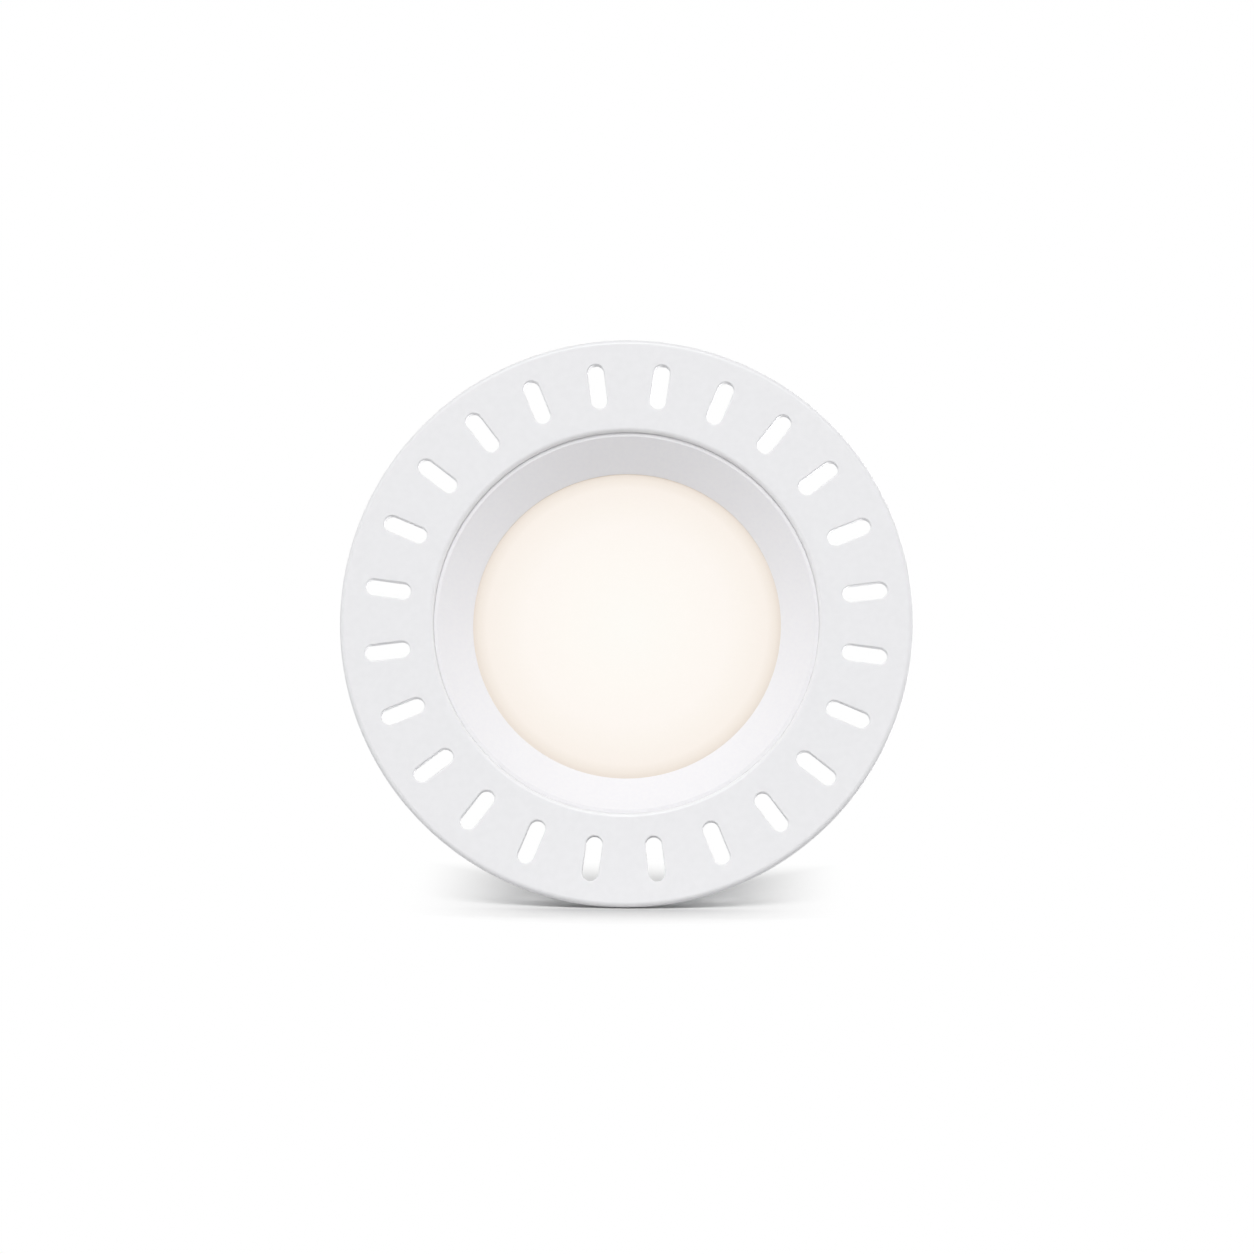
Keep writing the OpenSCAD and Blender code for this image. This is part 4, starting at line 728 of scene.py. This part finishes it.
# its shadow lies within half an ellipse, as wide as the ring and this many mm deep. Painted white light
# fades it from the first share to the second: to the sides in shares of the half width, in front in shares
# of the way from the ellipse's middle to its edge, and behind in shares of its depth
SHADOW_BACK = 109
FADE_SIDES, FADE_FRONT, FADE_BEHIND = (0.105, 0.78), (1.16, 1.39), (0.8, -0.05)
# painted shade before the rim, darkened into the floor's colour where it sees less of the room: how far it
# reaches in mm, and over which shares of the depth it sets in
PAINTED_SHADE_REACH, PAINTED_SHADE_STARTS = 28, (1.0, 1.05)


def white_sweep(rest_on, front):
    """Matt white paint that takes the ring's shadow. Masks that lie still on it paint white light over the
    shadow and so fade it to white at the sides, in front and behind, and a painted shade darkens it just in
    front of the rim. It is clear from below, so that it hides nothing of the light's back."""
    made = new_material("white_sweep")
    tree = made.node_tree
    seen = seen_rays(tree)
    # the place on the floor in shares of the ellipse: forward is 1 under the rim, and more lies in front,
    # and reach is 1 all along the ellipse's edge
    spot = add(tree, "ShaderNodeTexCoord")
    middle = rest_on - front * SHADOW_BACK * MM
    from_middle = add(tree, "ShaderNodeVectorMath", {0: spot.outputs["Object"], 1: middle},
                      operation="SUBTRACT").outputs["Vector"]
    sideways = add(tree, "ShaderNodeSeparateXYZ", {"Vector": from_middle})
    across = add(tree, "ShaderNodeMath", {0: sideways.outputs["X"], 1: 1 / (TRIM_R * MM)},
                 operation="MULTIPLY").outputs[0]
    forward = add(tree, "ShaderNodeVectorMath", {0: from_middle, 1: front / (SHADOW_BACK * MM)},
                  operation="DOT_PRODUCT").outputs["Value"]
    flat = add(tree, "ShaderNodeCombineXYZ", {"X": across, "Y": forward})
    reach = add(tree, "ShaderNodeVectorMath", {0: flat.outputs["Vector"]},
                operation="LENGTH").outputs["Value"]
    outward = add(tree, "ShaderNodeMath", {0: across}, operation="ABSOLUTE").outputs[0]
    # painted light: the largest of the three fades says how much of the floor is painted plain white by its
    # own glow where it is seen, over the shadow
    measured = ((outward, FADE_SIDES), (reach, FADE_FRONT), (forward, FADE_BEHIND))
    fades = [add(tree, "ShaderNodeMapRange", {"Value": value, "From Min": near, "From Max": far},
                 interpolation_type="SMOOTHSTEP").outputs["Result"]
             for value, (near, far) in measured]
    larger = add(tree, "ShaderNodeMath", {0: fades[0], 1: fades[1]}, operation="MAXIMUM")
    largest = add(tree, "ShaderNodeMath", {0: larger.outputs[0], 1: fades[2]}, operation="MAXIMUM")
    # painted white light over the shadow, only for the rays that see
    painted_light_share = add(tree, "ShaderNodeMath", {0: seen, 1: largest.outputs[0]}, operation="MULTIPLY")
    glow = add(tree, "ShaderNodeEmission", {"Color": (1, 1, 1, 1), "Strength": 1})
    # painted shade: just in front of the rim, the floor sees less of the room, and its colour is darkened by
    # that
    corner = add(tree, "ShaderNodeAmbientOcclusion",
                 {"Color": linear(FLOOR_WHITE), "Distance": PAINTED_SHADE_REACH * MM})
    start, full = PAINTED_SHADE_STARTS
    # the painted shade lies only in front of the rim
    ahead = add(tree, "ShaderNodeMapRange", {"Value": forward, "From Min": start, "From Max": full})
    shown = add(tree, "ShaderNodeMix", {"Factor": ahead.outputs["Result"], "A": linear(FLOOR_WHITE),
                                        "B": corner.outputs["Color"]}, data_type="RGBA")
    shade = add(tree, "ShaderNodeMix", {"Factor": seen, "A": linear(FLOOR_BOUNCE),
                                        "B": shown.outputs["Result"]}, data_type="RGBA")
    paint = add(tree, "ShaderNodeBsdfDiffuse", {"Color": shade.outputs["Result"]})
    both = add(tree, "ShaderNodeMixShader", {0: painted_light_share.outputs[0], 1: paint.outputs[0], 2: glow.outputs[0]})
    clear = add(tree, "ShaderNodeBsdfTransparent")
    side = add(tree, "ShaderNodeNewGeometry")
    choose = add(tree, "ShaderNodeMixShader",
                 {0: side.outputs["Backfacing"], 1: both.outputs[0], 2: clear.outputs[0]})
    add(tree, "ShaderNodeOutputMaterial", {"Surface": choose.outputs[0]})
    return made


def studio_floor():
    """the plain pale floor; the rounding of the ring's rear edge just touches it"""
    slope = math.radians(FLOOR_SLOPE)
    along = Vector((1, 0, 0))
    front = Vector((0, -math.sin(slope), -math.cos(slope)))
    rest_on = Vector((0, -TRIM_R, Z_REAR - EDGE_ROUND)) * MM
    corners = [rest_on + (along * sideways + front * forward) * MM
               for sideways, forward in ((-FLOOR_REACH, -FLOOR_BEHIND), (FLOOR_REACH, -FLOOR_BEHIND),
                                         (FLOOR_REACH, FLOOR_REACH), (-FLOOR_REACH, FLOOR_REACH))]
    data = bpy.data.meshes.new("studio_floor")
    data.from_pydata(corners, [], [(0, 1, 2, 3)])
    floor = bpy.data.objects.new("studio_floor", data)
    bpy.context.scene.collection.objects.link(floor)
    dress(floor, white_sweep(rest_on, front))


studio_floor()

# how strongly the world lights; 1 would be as bright as it shows
AMBIENT = 0.24


def studio_world():
    """light from all round at an even level, and plain white where it is seen"""
    world = bpy.data.worlds.new("studio")
    bpy.context.scene.world = world
    world.use_nodes = True
    tree = world.node_tree
    tree.nodes.clear()
    level = add(tree, "ShaderNodeMapRange", {"Value": seen_rays(tree), "To Min": AMBIENT, "To Max": 1})
    shell = add(tree, "ShaderNodeBackground", {"Color": (1, 1, 1, 1), "Strength": level.outputs[0]})
    add(tree, "ShaderNodeOutputWorld", {"Surface": shell.outputs[0]})


studio_world()


def far_softbox(name, towards, width, strength):
    """a wide soft lamp, so far off that it lights all of the ring alike; its width is an angle in degrees"""
    data = bpy.data.lights.new(name, "SUN")
    data.angle, data.energy = math.radians(width), strength
    lamp = bpy.data.objects.new(name, data)
    bpy.context.scene.collection.objects.link(lamp)
    lamp.location = towards
    lamp.rotation_mode = "QUATERNION"
    lamp.rotation_quaternion = Vector(towards).to_track_quat("Z", "Y")


# the lamps' strengths, and for each the direction from the ring in which it stands
KEY, BACK, SIDES = 2.0, 1.8, 0.66
far_softbox("key_above_front", (0.03, 0.61, -0.79), 30, KEY)
far_softbox("behind", (-0.5, 0, 0.86), 60, BACK)
far_softbox("side_left", (0.97, 0.05, -0.24), 40, SIDES)
far_softbox("side_right", (-0.97, 0.05, -0.24), 40, SIDES)

# the camera stands a little below the ring's axis and beside it, at the photograph's viewing angle.
# Angles are in degrees, the distance is in metres, and it aims so many mm to the right of the ring's
# middle and so many below it
TURN, TILT, ROLL = 1.486, 8.557, 0.6
DISTANCE, LENS = 2.4, 208
AIM_RIGHT, AIM_DOWN = 0.26, 1.835
turn, tilt, roll = (math.radians(angle) for angle in (TURN, TILT, ROLL))
forward = Vector((math.sin(turn) * math.cos(tilt), math.sin(tilt), math.cos(turn) * math.cos(tilt)))
right = Vector((-math.cos(turn), 0, math.sin(turn)))
upward = Vector((-math.sin(turn) * math.sin(tilt), math.cos(tilt), -math.cos(turn) * math.sin(tilt)))
right, upward = (right * math.cos(roll) + upward * math.sin(roll),
                 upward * math.cos(roll) - right * math.sin(roll))
aim = (Vector((0, 0, Z_FRONT)) + right * AIM_RIGHT - upward * AIM_DOWN) * MM
camera_data = bpy.data.cameras.new("camera")
camera_data.lens = LENS
camera = bpy.data.objects.new("camera", camera_data)
bpy.context.scene.collection.objects.link(camera)
camera.matrix_world = Matrix((
    (right.x, upward.x, -forward.x, 0), (right.y, upward.y, -forward.y, 0),
    (right.z, upward.z, -forward.z, 0), (0, 0, 0, 1)))
camera.location = aim - forward * DISTANCE
bpy.context.scene.camera = camera
bpy.context.scene.view_settings.view_transform = "Standard"
